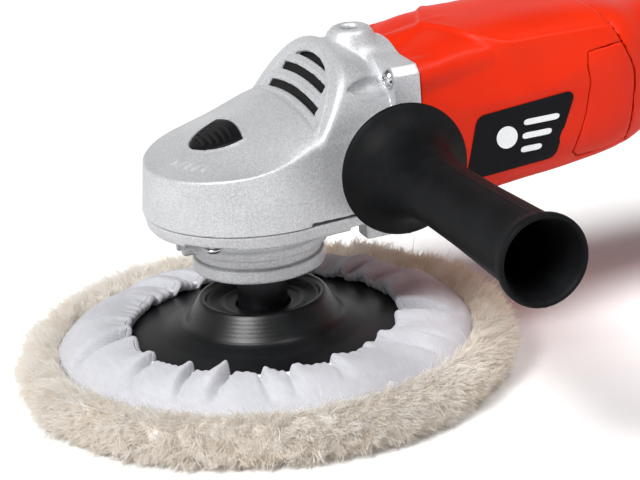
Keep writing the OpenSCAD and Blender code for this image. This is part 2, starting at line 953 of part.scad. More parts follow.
gear_case();
gear_case_cover();
cover_screws();
case_screws();
vent_insert();
lower_bearing_outer();
upper_bush();
dust_seal();
bearing_plate();
rotor_bearing_outers();
stator_core();
field_coils();
fan_baffle();
motor_housing();
badge_left();
badge_right();
brush_holders();
carbon_brushes();
brush_springs();
brush_cover_left();
brush_cover_right();
rear_handle_left();
rear_handle_right();
grip_pad_left();
grip_pad_right();
handle_screws();
switch_body();
speed_module();
trigger_pin();
trigger_spring();
cord_gland();
cord_clamp();
side_handle_grip();
side_handle_stud();
lock_spring();
spindle();
crown_gear();
gear_circlip();
lower_bearing_inner();
lower_bearing_balls();
pad_nut();
backing_pad();
bonnet_pile();
bonnet_skirt();
bonnet_elastic();
armature_shaft();
armature_core();
armature_windings();
commutator();
fan();
pinion();
pinion_nut();
rotor_bearing_inners();
rotor_bearing_balls();
spindle_lock_button();
spindle_lock_pin();
trigger();
lock_on_button();
speed_dial();
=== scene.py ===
"""Looks of a rotary polisher: cast gear head, orange motor shell, handles, pad and gathered wool bonnet.

Shapes are worked out in millimetres in the frame of the part: +Z up the spindle, +X back along the motor,
-Y out along the side handle. They turn into metres when a mesh is made.
"""
import math
import bpy
import numpy as np
from mathutils import Matrix, Vector


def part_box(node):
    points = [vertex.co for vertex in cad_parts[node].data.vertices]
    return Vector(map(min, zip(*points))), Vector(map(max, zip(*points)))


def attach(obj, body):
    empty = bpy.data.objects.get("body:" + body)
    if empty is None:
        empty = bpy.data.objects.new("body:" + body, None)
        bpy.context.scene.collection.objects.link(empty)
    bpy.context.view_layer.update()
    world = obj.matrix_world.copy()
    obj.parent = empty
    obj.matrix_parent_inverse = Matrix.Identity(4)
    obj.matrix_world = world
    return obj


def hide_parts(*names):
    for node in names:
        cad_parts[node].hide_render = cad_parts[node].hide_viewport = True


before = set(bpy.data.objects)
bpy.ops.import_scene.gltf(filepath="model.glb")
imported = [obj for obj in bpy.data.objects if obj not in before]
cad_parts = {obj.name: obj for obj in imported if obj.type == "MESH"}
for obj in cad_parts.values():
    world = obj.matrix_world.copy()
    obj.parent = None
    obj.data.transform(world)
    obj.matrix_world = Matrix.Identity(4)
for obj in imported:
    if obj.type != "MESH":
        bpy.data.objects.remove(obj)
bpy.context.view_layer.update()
MM = 0.001


def cad(node):
    """Lowest and highest corner of a CAD node in millimetres."""
    return tuple(np.array(corner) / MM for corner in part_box(node))


# Places that the frame gives
GRIP_LOW, GRIP_HIGH = cad("side_handle_grip")
COLLAR_Z = cad("gear_case_cover")[0][2]
COVER_END_X, _, COVER_TOP_Z = cad("gear_case_cover")[1]
FLANGE_X, _, BOSS_TOP_Z = cad("gear_case")[1]
PILE_R = cad("bonnet_pile")[1][0]
PAD_R = cad("backing_pad")[1][0]
NUT_R = cad("pad_nut")[1][0]
SIDE_X = (GRIP_LOW[0] + GRIP_HIGH[0]) / 2
SIDE_Z = (GRIP_LOW[2] + GRIP_HIGH[2]) / 2

# Places that repeat the part's own design values
MOTOR_Z = 107.0
BOSS_X = 50
SPIGOT_R = 35.5
SPIGOT_Z = 106.5
CORD_Z = 108
CASE_BOLTS = [(side * 32.0, z) for z in (132.5, 74.0) for side in (-1, 1)]
BOLT_SEAT_X = 53.5
COVER_BOLTS = [(43 * math.cos(a), 43 * math.sin(a)) for a in np.radians([45, 135, 225, 315])]
HANDLE_BOLTS = [(180, 90), (180, 131), (302, 92), (385, 92), (385, 124)]
PLATE_Z = 73.5
SIDES = ((-1, "left"), (1, "right"))


# ---- Fields: negative inside, close to a distance in millimetres ----

def join(a, b, fillet):
    """Union of two fields, with a fillet where they meet."""
    h = np.clip(0.5 + 0.5 * (b - a) / fillet, 0, 1)
    return b + (a - b) * h - fillet * h * (1 - h)


def both(a, b, edge):
    """Intersection of two fields, with a rounded edge."""
    return -join(-a, -b, edge)


def carve(a, b, edge=0.5):
    """Field a without field b."""
    return both(a, -b, edge)


def cut(shape, *cutters):
    """Field without the cutters, each a field and the rounding of its edge."""
    for cutter, edge in cutters:
        shape = carve(shape, cutter, edge)
    return shape


def within(*fields):
    """Sharp-edged intersection of several fields."""
    return np.maximum.reduce(fields)


def rod(p, start, end, r0, r1=None, edge=0.6):
    """Capped rod or cone between two points."""
    start, end = np.array(start, float), np.array(end, float)
    length = np.linalg.norm(end - start)
    way = (end - start) / length
    rel = [p[i] - start[i] for i in range(3)]
    along = sum(rel[i] * way[i] for i in range(3))
    out = np.sqrt(np.maximum(sum(r * r for r in rel) - along * along, 0))
    slope = ((r0 if r1 is None else r1) - r0) / length
    side = (out - r0 - slope * along) / math.sqrt(1 + slope * slope)
    return both(side, np.abs(along - length / 2) - length / 2, edge)


def x_rod(p, x0, x1, r, y=0.0, z=MOTOR_Z, r1=None, edge=0.6):
    return rod(p, (x0, y, z), (x1, y, z), r, r1, edge)


def z_rod(p, z0, z1, r, x=0.0, y=0.0, r1=None, edge=0.6):
    return rod(p, (x, y, z0), (x, y, z1), r, r1, edge)


def y_rod(p, y0, y1, r, at, edge=0.4):
    return rod(p, (at[0], y0, at[1]), (at[0], y1, at[1]), r, edge=edge)


def capsule(p, start, end, r0, r1):
    """Round-ended cone."""
    start, end = np.array(start, float), np.array(end, float)
    way = end - start
    rel = [p[i] - start[i] for i in range(3)]
    t = np.clip(sum(rel[i] * way[i] for i in range(3)) / (way @ way), 0, 1)
    out = np.sqrt(sum((rel[i] - t * way[i]) ** 2 for i in range(3)))
    return out - r0 - (r1 - r0) * t


def slab(p, low, high, edge=0.6):
    """Box between two corners."""
    q = [np.abs(p[i] - (low[i] + high[i]) / 2) - (high[i] - low[i]) / 2 for i in range(3)]
    return both(both(q[0], q[1], edge), q[2], edge)


def outline(u, v, points):
    """Signed distance from a closed outline."""
    best = np.full(u.shape, 1e6)
    inside = np.zeros(u.shape, bool)
    for (au, av), (bu, bv) in zip(points, points[1:] + points[:1]):
        du, dv = bu - au, bv - av
        t = np.clip(((u - au) * du + (v - av) * dv) / (du * du + dv * dv), 0, 1)
        best = np.minimum(best, (u - au - t * du) ** 2 + (v - av - t * dv) ** 2)
        if dv:
            inside ^= ((av > v) != (bv > v)) & (u < au + (v - av) * du / dv)
    return np.where(inside, -1, 1) * np.sqrt(best)


def follow(x, table):
    """Value at x on a smooth curve through the table's (x, value) points."""
    xs, vs = np.array(table, float).T
    slopes = np.gradient(vs, xs)
    i = np.clip(np.searchsorted(xs, x) - 1, 0, len(xs) - 2)
    h = xs[i + 1] - xs[i]
    t = np.clip((x - xs[i]) / h, 0, 1)
    s = 1 - t
    start = s * s * (1 + 2 * t) * vs[i] + t * s * s * h * slopes[i]
    return start + t * t * (1 + 2 * s) * vs[i + 1] - t * t * s * h * slopes[i + 1]


def loft(p, sections, grow=0.0):
    """Superelliptic tube along x through sections (x, half width, bottom, top, squareness)."""
    half, low, high, power = (follow(p[0], [(s[0], s[k]) for s in sections]) for k in (1, 2, 3, 4))
    half, tall = half + grow, (high - low) / 2 + grow
    u = np.abs(p[1]) / half
    v = np.abs(p[2] - (low + high) / 2) / tall
    return ((u ** power + v ** power) ** (1 / power) - 1) * np.minimum(half, tall)


def bump(distance, width):
    return np.exp(-(distance / width) ** 2)


def step_up(t):
    t = np.clip(t, 0, 1)
    return t * t * (3 - 2 * t)


CORNERS = [(i, j, k) for i in (0, 1) for j in (0, 1) for k in (0, 1)]
CUBE_EDGES = [(a, b) for a in range(8) for b in range(a + 1, 8)
              if sum(abs(CORNERS[a][m] - CORNERS[b][m]) for m in range(3)) == 1]


def skin(field, low, high, step):
    """Points and quads of the surface where field is zero, by surface nets drawn onto the surface."""
    axes = [np.arange(a - 1.5 * step, b + 2.5 * step, step) for a, b in zip(low, high)]
    value = field(np.meshgrid(*axes, indexing="ij")).astype(np.float32)
    inside = value < 0
    shape = np.array(value.shape)
    corner_in = [inside[i:shape[0] - 1 + i, j:shape[1] - 1 + j, k:shape[2] - 1 + k] for i, j, k in CORNERS]
    count = sum(c.astype(np.int8) for c in corner_in)
    cells = np.argwhere((count > 0) & (count < 8))
    number = np.full(shape - 1, -1)
    number[tuple(cells.T)] = np.arange(len(cells))
    at = np.array([value[tuple((cells + c).T)] for c in CORNERS])
    total = np.zeros((len(cells), 3))
    hits = np.zeros(len(cells))
    for a, b in CUBE_EDGES:
        crosses = (at[a] < 0) != (at[b] < 0)
        t = np.where(crosses, at[a] / np.where(crosses, at[a] - at[b], 1), 0)[:, None]
        point = np.array(CORNERS[a]) + t * (np.array(CORNERS[b]) - np.array(CORNERS[a]))
        total += np.where(crosses[:, None], point, 0)
        hits += crosses
    points = np.array([a[0] for a in axes]) + step * (cells + total / hits[:, None])
    quads = []
    for a in range(3):
        b, c = (a + 1) % 3, (a + 2) % 3
        near, far = [slice(None)] * 3, [slice(None)] * 3
        near[a], far[a] = slice(None, -1), slice(1, None)
        p = np.argwhere(inside[tuple(near)] != inside[tuple(far)])
        p = p[(p[:, b] > 0) & (p[:, c] > 0) & (p[:, b] < shape[b] - 1) & (p[:, c] < shape[c] - 1)]
        ring = []
        for db, dc in ((1, 1), (0, 1), (0, 0), (1, 0)):
            q = p.copy()
            q[:, b] -= db
            q[:, c] -= dc
            ring.append(number[tuple(q.T)])
        quad = np.stack(ring, 1)
        inward = ~inside[tuple(p.T)]
        quad[inward] = quad[inward][:, ::-1]
        quads.append(quad)
    return draw_on(field, points, step), np.concatenate(quads)


def draw_on(field, points, step):
    """Moves points onto the surface where field is zero, by at most one step in all."""
    tiny = 0.04
    started = points.copy()
    for _ in range(3):
        slope = np.zeros_like(points)
        for m in range(3):
            ahead, behind = points.copy(), points.copy()
            ahead[:, m] += tiny
            behind[:, m] -= tiny
            slope[:, m] = (field(list(ahead.T)) - field(list(behind.T))) / (2 * tiny)
        far = field(list(points.T)) / np.maximum((slope ** 2).sum(1), 0.05)
        points = points - np.clip(far, -step, step)[:, None] * slope
        points = started + np.clip(points - started, -0.7 * step, 0.7 * step)
    return points


# ---- Meshes ----

def placed(name, data):
    """A new object in the scene."""
    made = bpy.data.objects.new(name, data)
    bpy.context.scene.collection.objects.link(made)
    return made


def piece(name, points, faces, body, slot, *replaced, material=None, sharp=None):
    """Makes a mesh piece from points in millimetres, and puts it on its body."""
    mesh = bpy.data.meshes.new(name)
    mesh.from_pydata((np.asarray(points) * MM).tolist(), [], [list(f) for f in faces])
    mesh.validate()
    mesh.shade_smooth()
    if sharp:
        mesh.set_sharp_from_angle(angle=math.radians(sharp))
    mesh.materials.append(material or FINISH[slot])
    made = placed(name, mesh)
    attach(made, body)
    if replaced:
        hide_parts(*replaced)
    return made


def solid(node, field, low, high, step, slot, body="machine"):
    """The skin that replaces a CAD node: the surface of a field between two corners."""
    points, quads = skin(field, low, high, step)
    piece(f"{node}_skin", points, quads, body, slot, node, sharp=35)


def rounded(points, radius, steps=4):
    """A polyline with its corners turned into curves."""
    made = [np.array(points[0], float)]
    for before, corner, after in zip(points, points[1:], points[2:]):
        before, corner, after = (np.array(q, float) for q in (before, corner, after))
        cut = [min(radius, np.linalg.norm(q - corner) / 2) for q in (before, after)]
        first = corner + (before - corner) / np.linalg.norm(before - corner) * cut[0]
        last = corner + (after - corner) / np.linalg.norm(after - corner) * cut[1]
        for t in np.linspace(0, 1, steps + 1):
            made.append((1 - t) ** 2 * first + 2 * t * (1 - t) * corner + t * t * last)
    made.append(np.array(points[-1], float))
    return np.array(made)


def rounded_loop(points, radius, steps):
    """A closed outline with its corners turned into curves."""
    return rounded(points + points[:2], radius, steps)[1:-1]


def refined(profile, longest):
    """The profile with no stretch longer than a given length."""
    made = [profile[0]]
    for a, b in zip(profile, profile[1:]):
        n = max(1, math.ceil(np.linalg.norm(b - a) / longest))
        made.extend(a + (b - a) * k / n for k in range(1, n + 1))
    return np.array(made)


def between_rings(rows, sides, closed=False):
    """Quads between neighbouring rings of points, and from the last ring to the first on a closed piece."""
    near = np.arange(sides)
    after = (near + 1) % sides
    faces = []
    for j in range(rows if closed else rows - 1):
        a, b = j * sides, (j + 1) % rows * sides
        faces.append(np.stack([a + near, a + after, b + after, b + near], 1))
    return np.concatenate(faces)


def turned(profile, sides):
    """Points and faces of a closed profile of (radius, height) turned about Z."""
    angle = np.linspace(0, 2 * np.pi, sides, endpoint=False)
    r, z = profile[:, 0][:, None], profile[:, 1][:, None]
    points = np.stack([r * np.cos(angle), r * np.sin(angle), z + 0 * angle], -1).reshape(-1, 3)
    return points, between_rings(len(profile), sides, closed=True)


def joined(parts):
    """One set of points and faces from several."""
    points, faces, first = [], [], 0
    for p, f in parts:
        points.append(p)
        faces.extend((np.asarray(f) + first).tolist())
        first += len(p)
    return np.concatenate(points), faces


# ---- Materials ----

class Finish:
    """A node material with one Principled shader, and short ways to add texture to it."""

    def __init__(self, name, roughness=0.5, metallic=0.0, **inputs):
        self.material = bpy.data.materials.new(name)
        self.material.use_nodes = True
        self.tree = self.material.node_tree
        self.shader = self.tree.nodes["Principled BSDF"]
        self.shader.inputs["Roughness"].default_value = roughness
        self.shader.inputs["Metallic"].default_value = metallic
        for label, value in inputs.items():
            self.shader.inputs[label.replace("_", " ")].default_value = value
        self.place = self.tree.nodes.new("ShaderNodeTexCoord").outputs["Object"]

    def node(self, kind, **settings):
        made = self.tree.nodes.new("ShaderNode" + kind)
        for label, value in settings.items():
            setattr(made, label, value)
        return made

    def link(self, source, target):
        self.tree.links.new(source, target)

    def stretched(self, scale):
        mapping = self.node("Mapping")
        mapping.inputs["Scale"].default_value = scale
        self.link(self.place, mapping.inputs["Vector"])
        return mapping.outputs["Vector"]

    def noise(self, size_mm, detail=3.0, rough=0.55, stretch=None):
        made = self.node("TexNoise")
        made.inputs["Scale"].default_value = 1 / (size_mm * MM)
        made.inputs["Detail"].default_value = detail
        made.inputs["Roughness"].default_value = rough
        self.link(self.stretched(stretch) if stretch else self.place, made.inputs["Vector"])
        return made.outputs["Fac"]

    def ramp(self, source, stops):
        made = self.node("ValToRGB")
        items = made.color_ramp.elements
        while len(items) < len(stops):
            items.new(0.5)
        for item, (position, colour) in zip(items, stops):
            item.position = position
            item.color = (*colour, 1)
        self.link(source, made.inputs["Fac"])
        return made.outputs["Color"]

    def math(self, operation, a, b):
        made = self.node("Math", operation=operation)
        for socket, value in zip(made.inputs, (a, b)):
            if isinstance(value, (int, float)):
                socket.default_value = value
            else:
                self.link(value, socket)
        return made.outputs[0]

    def colour(self, source):
        self.link(source, self.shader.inputs["Base Color"])

    def roughness(self, source, low, high):
        made = self.node("MapRange")
        made.inputs["To Min"].default_value = low
        made.inputs["To Max"].default_value = high
        self.link(source, made.inputs["Value"])
        self.link(made.outputs["Result"], self.shader.inputs["Roughness"])

    def relief(self, source, depth_mm, strength=1.0):
        made = self.node("Bump")
        made.inputs["Distance"].default_value = depth_mm * MM
        made.inputs["Strength"].default_value = strength
        self.link(source, made.inputs["Height"])
        self.link(made.outputs["Normal"], self.shader.inputs["Normal"])


def grained(name, dark, light, grain, depth, rough, metallic=0.0, mottle=25.0, stretch=None, **inputs):
    """A finish whose colour, roughness and relief follow a fine grain over a slow mottle."""
    f = Finish(name, metallic=metallic, **inputs)
    fine = f.noise(grain, 4, 0.6, stretch)
    slow = f.noise(mottle, 2)
    mixed = f.math("ADD", f.math("MULTIPLY", fine, 0.7), f.math("MULTIPLY", slow, 0.3))
    f.colour(f.ramp(mixed, [(0.3, dark), (0.7, light)]))
    f.roughness(mixed, rough - 0.1, rough + 0.1)
    f.relief(fine, depth)
    return f.material


def cast_aluminium():
    f = Finish("cast_aluminium", metallic=0.4)
    fine = f.noise(0.36, 3, 0.7)
    speck = f.noise(0.9, 2, 0.6)
    slow = f.noise(30, 2)
    mixed = f.math("ADD", f.math("MULTIPLY", fine, 0.55), f.math("MULTIPLY", speck, 0.3))
    mixed = f.math("ADD", mixed, f.math("MULTIPLY", slow, 0.15))
    tones = [(0.34, (0.3, 0.305, 0.32)), (0.5, (0.5, 0.505, 0.52)), (0.66, (0.7, 0.705, 0.72))]
    f.colour(f.ramp(mixed, tones))
    f.roughness(mixed, 0.3, 0.52)
    f.relief(f.math("ADD", fine, f.math("MULTIPLY", speck, 0.6)), 0.12, 0.7)
    return f.material


def orange_shell():
    f = Finish("orange_shell", Specular_IOR_Level=0.15)
    slow = f.noise(40, 2)
    fine = f.noise(0.7, 2)
    f.colour(f.ramp(slow, [(0.3, (0.53, 0.014, 0.0008)), (0.7, (0.61, 0.02, 0.0015))]))
    f.roughness(fine, 0.36, 0.5)
    f.relief(fine, 0.03, 0.5)
    return f.material


def black_rubber(name, tone=0.004, rough=0.5, coarse=0.5):
    f = Finish(name, Specular_IOR_Level=0.08)
    fine = f.noise(coarse, 3, 0.6)
    slow = f.noise(14, 4, 0.6)
    dark = (tone * 0.7, tone * 0.75, tone * 0.85)
    light = (tone * 1.6, tone * 1.7, tone * 1.9)
    f.colour(f.ramp(slow, [(0.35, dark), (0.7, light)]))
    both_grains = f.math("ADD", f.math("MULTIPLY", fine, 0.5), f.math("MULTIPLY", slow, 0.5))
    f.roughness(both_grains, rough - 0.08, rough + 0.14)
    f.relief(fine, 0.08, 0.6)
    return f.material


def pad_rubber():
    """Moulded black rubber with the fine rings that turning leaves."""
    f = Finish("pad_rubber", Specular_IOR_Level=0.4)
    rings = f.node("TexWave", wave_type="RINGS", rings_direction="Z")
    rings.inputs["Scale"].default_value = 320
    rings.inputs["Distortion"].default_value = 0.6
    f.link(f.place, rings.inputs["Vector"])
    slow = f.noise(18, 4, 0.6)
    fine = f.noise(0.8, 3)
    f.colour(f.ramp(slow, [(0.35, (0.002, 0.0022, 0.0026)), (0.7, (0.006, 0.0065, 0.0075))]))
    f.roughness(slow, 0.3, 0.44)
    f.relief(f.math("ADD", f.math("MULTIPLY", rings.outputs["Fac"], 0.5), fine), 0.07, 0.6)
    return f.material


def cotton():
    """Plain-woven cotton: two crossed sets of threads, a little uneven."""
    f = Finish("cotton_skirt", roughness=0.85, Sheen_Weight=0.25, Sheen_Roughness=0.5)
    threads = []
    for axis in ("X", "Y"):
        wave = f.node("TexWave", wave_type="BANDS", bands_direction=axis)
        wave.inputs["Scale"].default_value = 420
        wave.inputs["Distortion"].default_value = 1.2
        wave.inputs["Detail"].default_value = 2
        wave.inputs["Detail Scale"].default_value = 1.5
        f.link(f.place, wave.inputs["Vector"])
        threads.append(wave.outputs["Fac"])
    weave = f.math("MULTIPLY", threads[0], threads[1])
    slub = f.noise(2.0, 3, 0.6, stretch=(1, 0.25, 1))
    slow = f.noise(24, 2)
    tone = f.math("ADD", f.math("MULTIPLY", weave, 0.35), f.math("MULTIPLY", slub, 0.35))
    tone = f.math("ADD", tone, f.math("MULTIPLY", slow, 0.3))
    whites = [(0.25, (0.42, 0.425, 0.46)), (0.6, (0.57, 0.57, 0.605)), (0.85, (0.66, 0.66, 0.69))]
    f.colour(f.ramp(tone, whites))
    f.relief(f.math("ADD", weave, f.math("MULTIPLY", slub, 0.7)), 0.16, 0.8)
    return f.material


def wool():
    """Cream wool: every lock has its own tone, and its root is painted darker than its tip as shade."""
    # Painted light: a faint emission in the wool's own colour makes the fibres glow, standing in for light
    # scattered between them.
    f = Finish("wool_pile", roughness=0.75, Sheen_Weight=0.3, Sheen_Roughness=0.4, Emission_Strength=0.07)
    tone = f.node("Attribute", attribute_name="tone").outputs["Fac"]
    speck = f.noise(1.5, 3)
    mixed = f.math("ADD", f.math("MULTIPLY", tone, 0.85), f.math("MULTIPLY", speck, 0.15))
    creams = f.ramp(mixed, [(0.1, (0.8, 0.66, 0.49)), (0.45, (0.93, 0.87, 0.79)), (0.8, (0.98, 0.965, 0.94))])
    f.colour(creams)
    f.link(creams, f.shader.inputs["Emission Color"])
    through = f.node("BsdfTranslucent")
    f.link(creams, through.inputs["Color"])
    mixed_shader = f.node("MixShader")
    mixed_shader.inputs["Fac"].default_value = 0.5
    f.link(f.shader.outputs["BSDF"], mixed_shader.inputs[1])
    f.link(through.outputs["BSDF"], mixed_shader.inputs[2])
    f.link(mixed_shader.outputs["Shader"], f.tree.nodes["Material Output"].inputs["Surface"])
    return f.material


def brushed(name, dark, light, rough, stretch):
    return grained(name, dark, light, 1.2, 0.02, rough, metallic=1.0, stretch=stretch)


def layered(name, dark, light, pitch_mm, **inputs):
    """Metal or copper in fine layers along x, as in laminations and windings."""
    f = Finish(name, **inputs)
    bands = f.node("TexWave", wave_type="BANDS", bands_direction="X")
    bands.inputs["Scale"].default_value = 0.31 / (pitch_mm * MM)
    bands.inputs["Distortion"].default_value = 0.3
    f.link(f.place, bands.inputs["Vector"])
    f.colour(f.ramp(bands.outputs["Fac"], [(0.15, dark), (0.6, light)]))
    f.relief(bands.outputs["Fac"], 0.1)
    return f.material


def dress_nodes():
    """Makes the finish of each material slot, and puts them on the CAD nodes.

    The imported materials are renamed first, so that the new ones can carry the names of the slots.
    """
    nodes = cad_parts.values()
    names = [[place.material.name for place in node.material_slots] for node in nodes]
    for imported in list(bpy.data.materials):
        if imported.name in {name for own in names for name in own}:
            imported.name = "cad_" + imported.name
    grey = (0.55, 0.56, 0.57)
    dull = (0.3, 0.3, 0.32)
    made = [
        cast_aluminium(),
        brushed("chrome_screw", (0.6, 0.6, 0.62), (0.85, 0.85, 0.87), 0.2, (1, 1, 6)),
        grained("black_plastic", (0.0025, 0.0025, 0.003), (0.006, 0.006, 0.007), 0.6, 0.05, 0.45,
                Specular_IOR_Level=0.08),
        brushed("bearing_steel", grey, (0.8, 0.8, 0.82), 0.2, (1, 1, 8)),
        grained("bronze", (0.35, 0.2, 0.07), (0.55, 0.34, 0.13), 0.5, 0.05, 0.45, metallic=1.0),
        black_rubber("seal_rubber", 0.008, 0.6),
        layered("lamination_steel", (0.12, 0.12, 0.13), (0.4, 0.4, 0.42), 0.5, metallic=0.9, roughness=0.5),
        layered("copper", (0.25, 0.08, 0.03), (0.75, 0.33, 0.17), 0.8, metallic=0.8, roughness=0.35),
        orange_shell(),
        grained("badge_film", (0.004, 0.004, 0.005), (0.008, 0.008, 0.01), 0.8, 0.01, 0.35,
                Specular_IOR_Level=0.06),
        grained("brass", (0.5, 0.35, 0.12), (0.72, 0.53, 0.22), 0.8, 0.04, 0.35, metallic=1.0),
        grained("carbon", (0.01, 0.01, 0.01), (0.05, 0.05, 0.05), 0.3, 0.06, 0.6),
        brushed("spring_steel", dull, grey, 0.3, (1, 1, 1)),
        black_rubber("grip_rubber"),
        grained("circuit_board", (0.01, 0.08, 0.03), (0.03, 0.16, 0.06), 2.0, 0.05, 0.4),
        brushed("machined_steel", (0.4, 0.4, 0.42), (0.72, 0.73, 0.74), 0.3, (8, 1, 1)),
        brushed("gear_steel", dull, (0.6, 0.6, 0.62), 0.35, (1, 1, 1)),
        grained("black_oxide", (0.01, 0.01, 0.012), (0.03, 0.03, 0.035), 0.8, 0.03, 0.3, metallic=0.4),
        pad_rubber(),
        wool(),
        cotton(),
        grained("elastic", (0.6, 0.6, 0.6), (0.85, 0.85, 0.84), 0.5, 0.1, 0.8),
    ]
    by_name = {finish.name: finish for finish in made}
    for node, own in zip(nodes, names):
        for place, name in zip(node.material_slots, own):
            place.material = by_name[name]
    return by_name


# ---- Gear head ----

CREASE_R = 46.3
DRUM_R = 48.5
LEAN = math.radians(6.46)


def head_plan(p, r):
    """Distance outside the head's plan: a round front that opens into two nearly straight sides."""
    side = np.abs(p[1])
    behind = p[0] * math.cos(LEAN) - side * math.sin(LEAN) > 0
    return np.where(behind, p[0] * math.sin(LEAN) + side * math.cos(LEAN), np.hypot(p[0], p[1])) - r


def crease_height(x):
    return 102 + 0.1 * (x + CREASE_R)


def roof_height(p):
    """Height of the domed roof: gentle over the nose, broad-shouldered where it meets the hood."""
    t = np.clip(-head_plan(p, CREASE_R) / CREASE_R, 0, 1)
    nose = 0.42 * t + 0.58 * step_up(t)
    rear = (1 - (1 - t) ** 2.4) ** (1 / 2.4)
    rise = 10.7 + 3.6 * step_up((p[0] + 6) / 25)
    return crease_height(p[0]) + rise * (nose + step_up((p[0] + 18) / 34) * (rear - nose))


# Sections of the hood for loft, and corners (across, up the face) of the panel round its vent slots
HOOD = [(8, 44.5, 64, 147, 2.4), (32, 42, 64, 146.5, 2.4), (42, 40.3, 64, 143, 2.4),
        (53, 38.5, 64, 137.5, 2.4), (60, 37.5, 64, 136.5, 2.4)]
PANEL = [(y * side, up) for side, order in ((1, 1), (-1, -1))
         for y, up in [(39, -5), (36.3, 1.7), (34.4, 5.4), (31.9, 10.7), (27.3, 18.9), (19.5, 26.9),
                       (9.5, 30.8), (3, 31.7)][::order]]


FACE_X = 14
FACE_Z = 117
BAR_BOW = 0.0033


def face_place(p):
    """Distance up the hood's sloping face, and distance in front of that face, which is a little rounded."""
    up = 0.6 * (p[0] - FACE_X) + 0.8 * (p[2] - FACE_Z)
    front = -0.8 * (p[0] - FACE_X) + 0.6 * (p[2] - FACE_Z)
    return up, front + 0.2 + 0.0019 * p[1] ** 2


def hood_solid(p):
    """Broad arch over the gears, cut off at a slant for the face that carries the vent slots."""
    return both(both(loft(p, HOOD), face_place(p)[1], 2.6), 8 - p[0], 1)


def hood_relief(p):
    """Height added on the face: a panel sunk inside a lipped frame, with a ridge along each bar."""
    up, front = face_place(p)
    rim = outline(p[1], up, PANEL)
    bowed = up + BAR_BOW * p[1] ** 2
    bars = sum(bump(bowed - middle, 0.7) for middle in (15.3, 23.9, 7.9))
    near = step_up((front + 5) / 4) * step_up((2.2 - front) / 1.6)
    sunk = step_up(-rim / 1.4)
    return near * (0.45 * bump(rim - 0.9, 0.9) - 0.8 * sunk + 0.55 * bars * sunk)


FLANGE_OUTLINE = [(y * side, z) for side, order in ((1, 1), (-1, -1))
                  for y, z in [(32, 66.5), (38.5, 71), (38.5, 134.5), (35, 138.2), (14, 138.4),
                               (6, 141.5)][::order]]
SHIELD_R = 18


def shield(p):
    """Distance outside the plan of the lock button: two arcs that meet in a nose, and a curved back."""
    arcs = [np.hypot(p[0] + 8.5, p[1] - 2.4 * k) - SHIELD_R for k in (-1, 1)]
    return both(both(arcs[0], arcs[1], 0.8), np.hypot(p[0] + 74.3, p[1]) - 67.6, 0.2)


def slot_bands(p):
    """The three slots: two bowed bands and a half-moon on top."""
    up, front = face_place(p)
    side = np.abs(p[1])
    bowed = up + BAR_BOW * side ** 2
    low = both(np.abs(bowed - 11.1) - 1.85, side - 27, 0.8)
    middle = both(np.abs(bowed - 19.9) - 1.9, side - 23.5, 0.8)
    top = both(both(26.2 - bowed, up + 0.0125 * side ** 2 - 29.4, 0.6), side - 17, 0.6)
    return np.maximum(np.minimum(np.minimum(low, middle), top), -front - 6)


TICKS_AT = 202
TICK_PITCH = 7.5


def ticks(p):
    """A plain row of five short raised ticks in front of the lock button, along the crease."""
    out = np.hypot(p[0], p[1])
    turn = np.degrees(np.arctan2(p[1], p[0])) % 360
    middle = TICK_PITCH * np.round((turn - TICKS_AT) / TICK_PITCH) + TICKS_AT
    across = np.abs(turn - middle) * math.pi / 180 * out
    return within(across - 1.1, np.abs(out - 35.4) - 2.3, (np.abs(turn - TICKS_AT) - 18) * 0.6)


def case_outside(p):
    """Outside of the gear case, and its flange and lower lugs once more as fields of their own."""
    x, y, z = p
    side = np.abs(y)
    wall = head_plan(p, DRUM_R - 0.1 * (z - COVER_TOP_Z))
    roof = (z - roof_height(p)) * 0.95
    body = both(both(wall, roof, 1.0), x - 60, 1)
    hood = both(hood_solid(p), x - 60, 1)
    shape = join(body, both(hood, 90 - z, 1), 0.8)
    flange = both(outline(y, z, FLANGE_OUTLINE), np.abs(x - 59) - 6, 0.7)
    shape = join(shape, flange, 1.2)
    lugs = slab([x, side, z], (36, 28, 65.5), (56, 38.3, 90), 1.2)
    shape = join(shape, lugs, 0.5)
    shape = join(shape, x_rod(p, 50, FLANGE_X, SPIGOT_R, z=SPIGOT_Z), 1.5)
    boss = z_rod(p, 134, BOSS_TOP_Z, 15.8, BOSS_X, r1=8.4, edge=2.4)
    shape = join(shape, both(boss, x - FLANGE_X, 0.6), 3)
    for way in (-1, 1):
        shape = join(shape, rod(p, (SIDE_X, way * 30, SIDE_Z), (SIDE_X, way * 54, SIDE_Z), 13.5, 13, 1.2), 6)
    return both(shape, x - FLANGE_X, 0.5), both(flange, z - COVER_TOP_Z - 4, 0.4), lugs


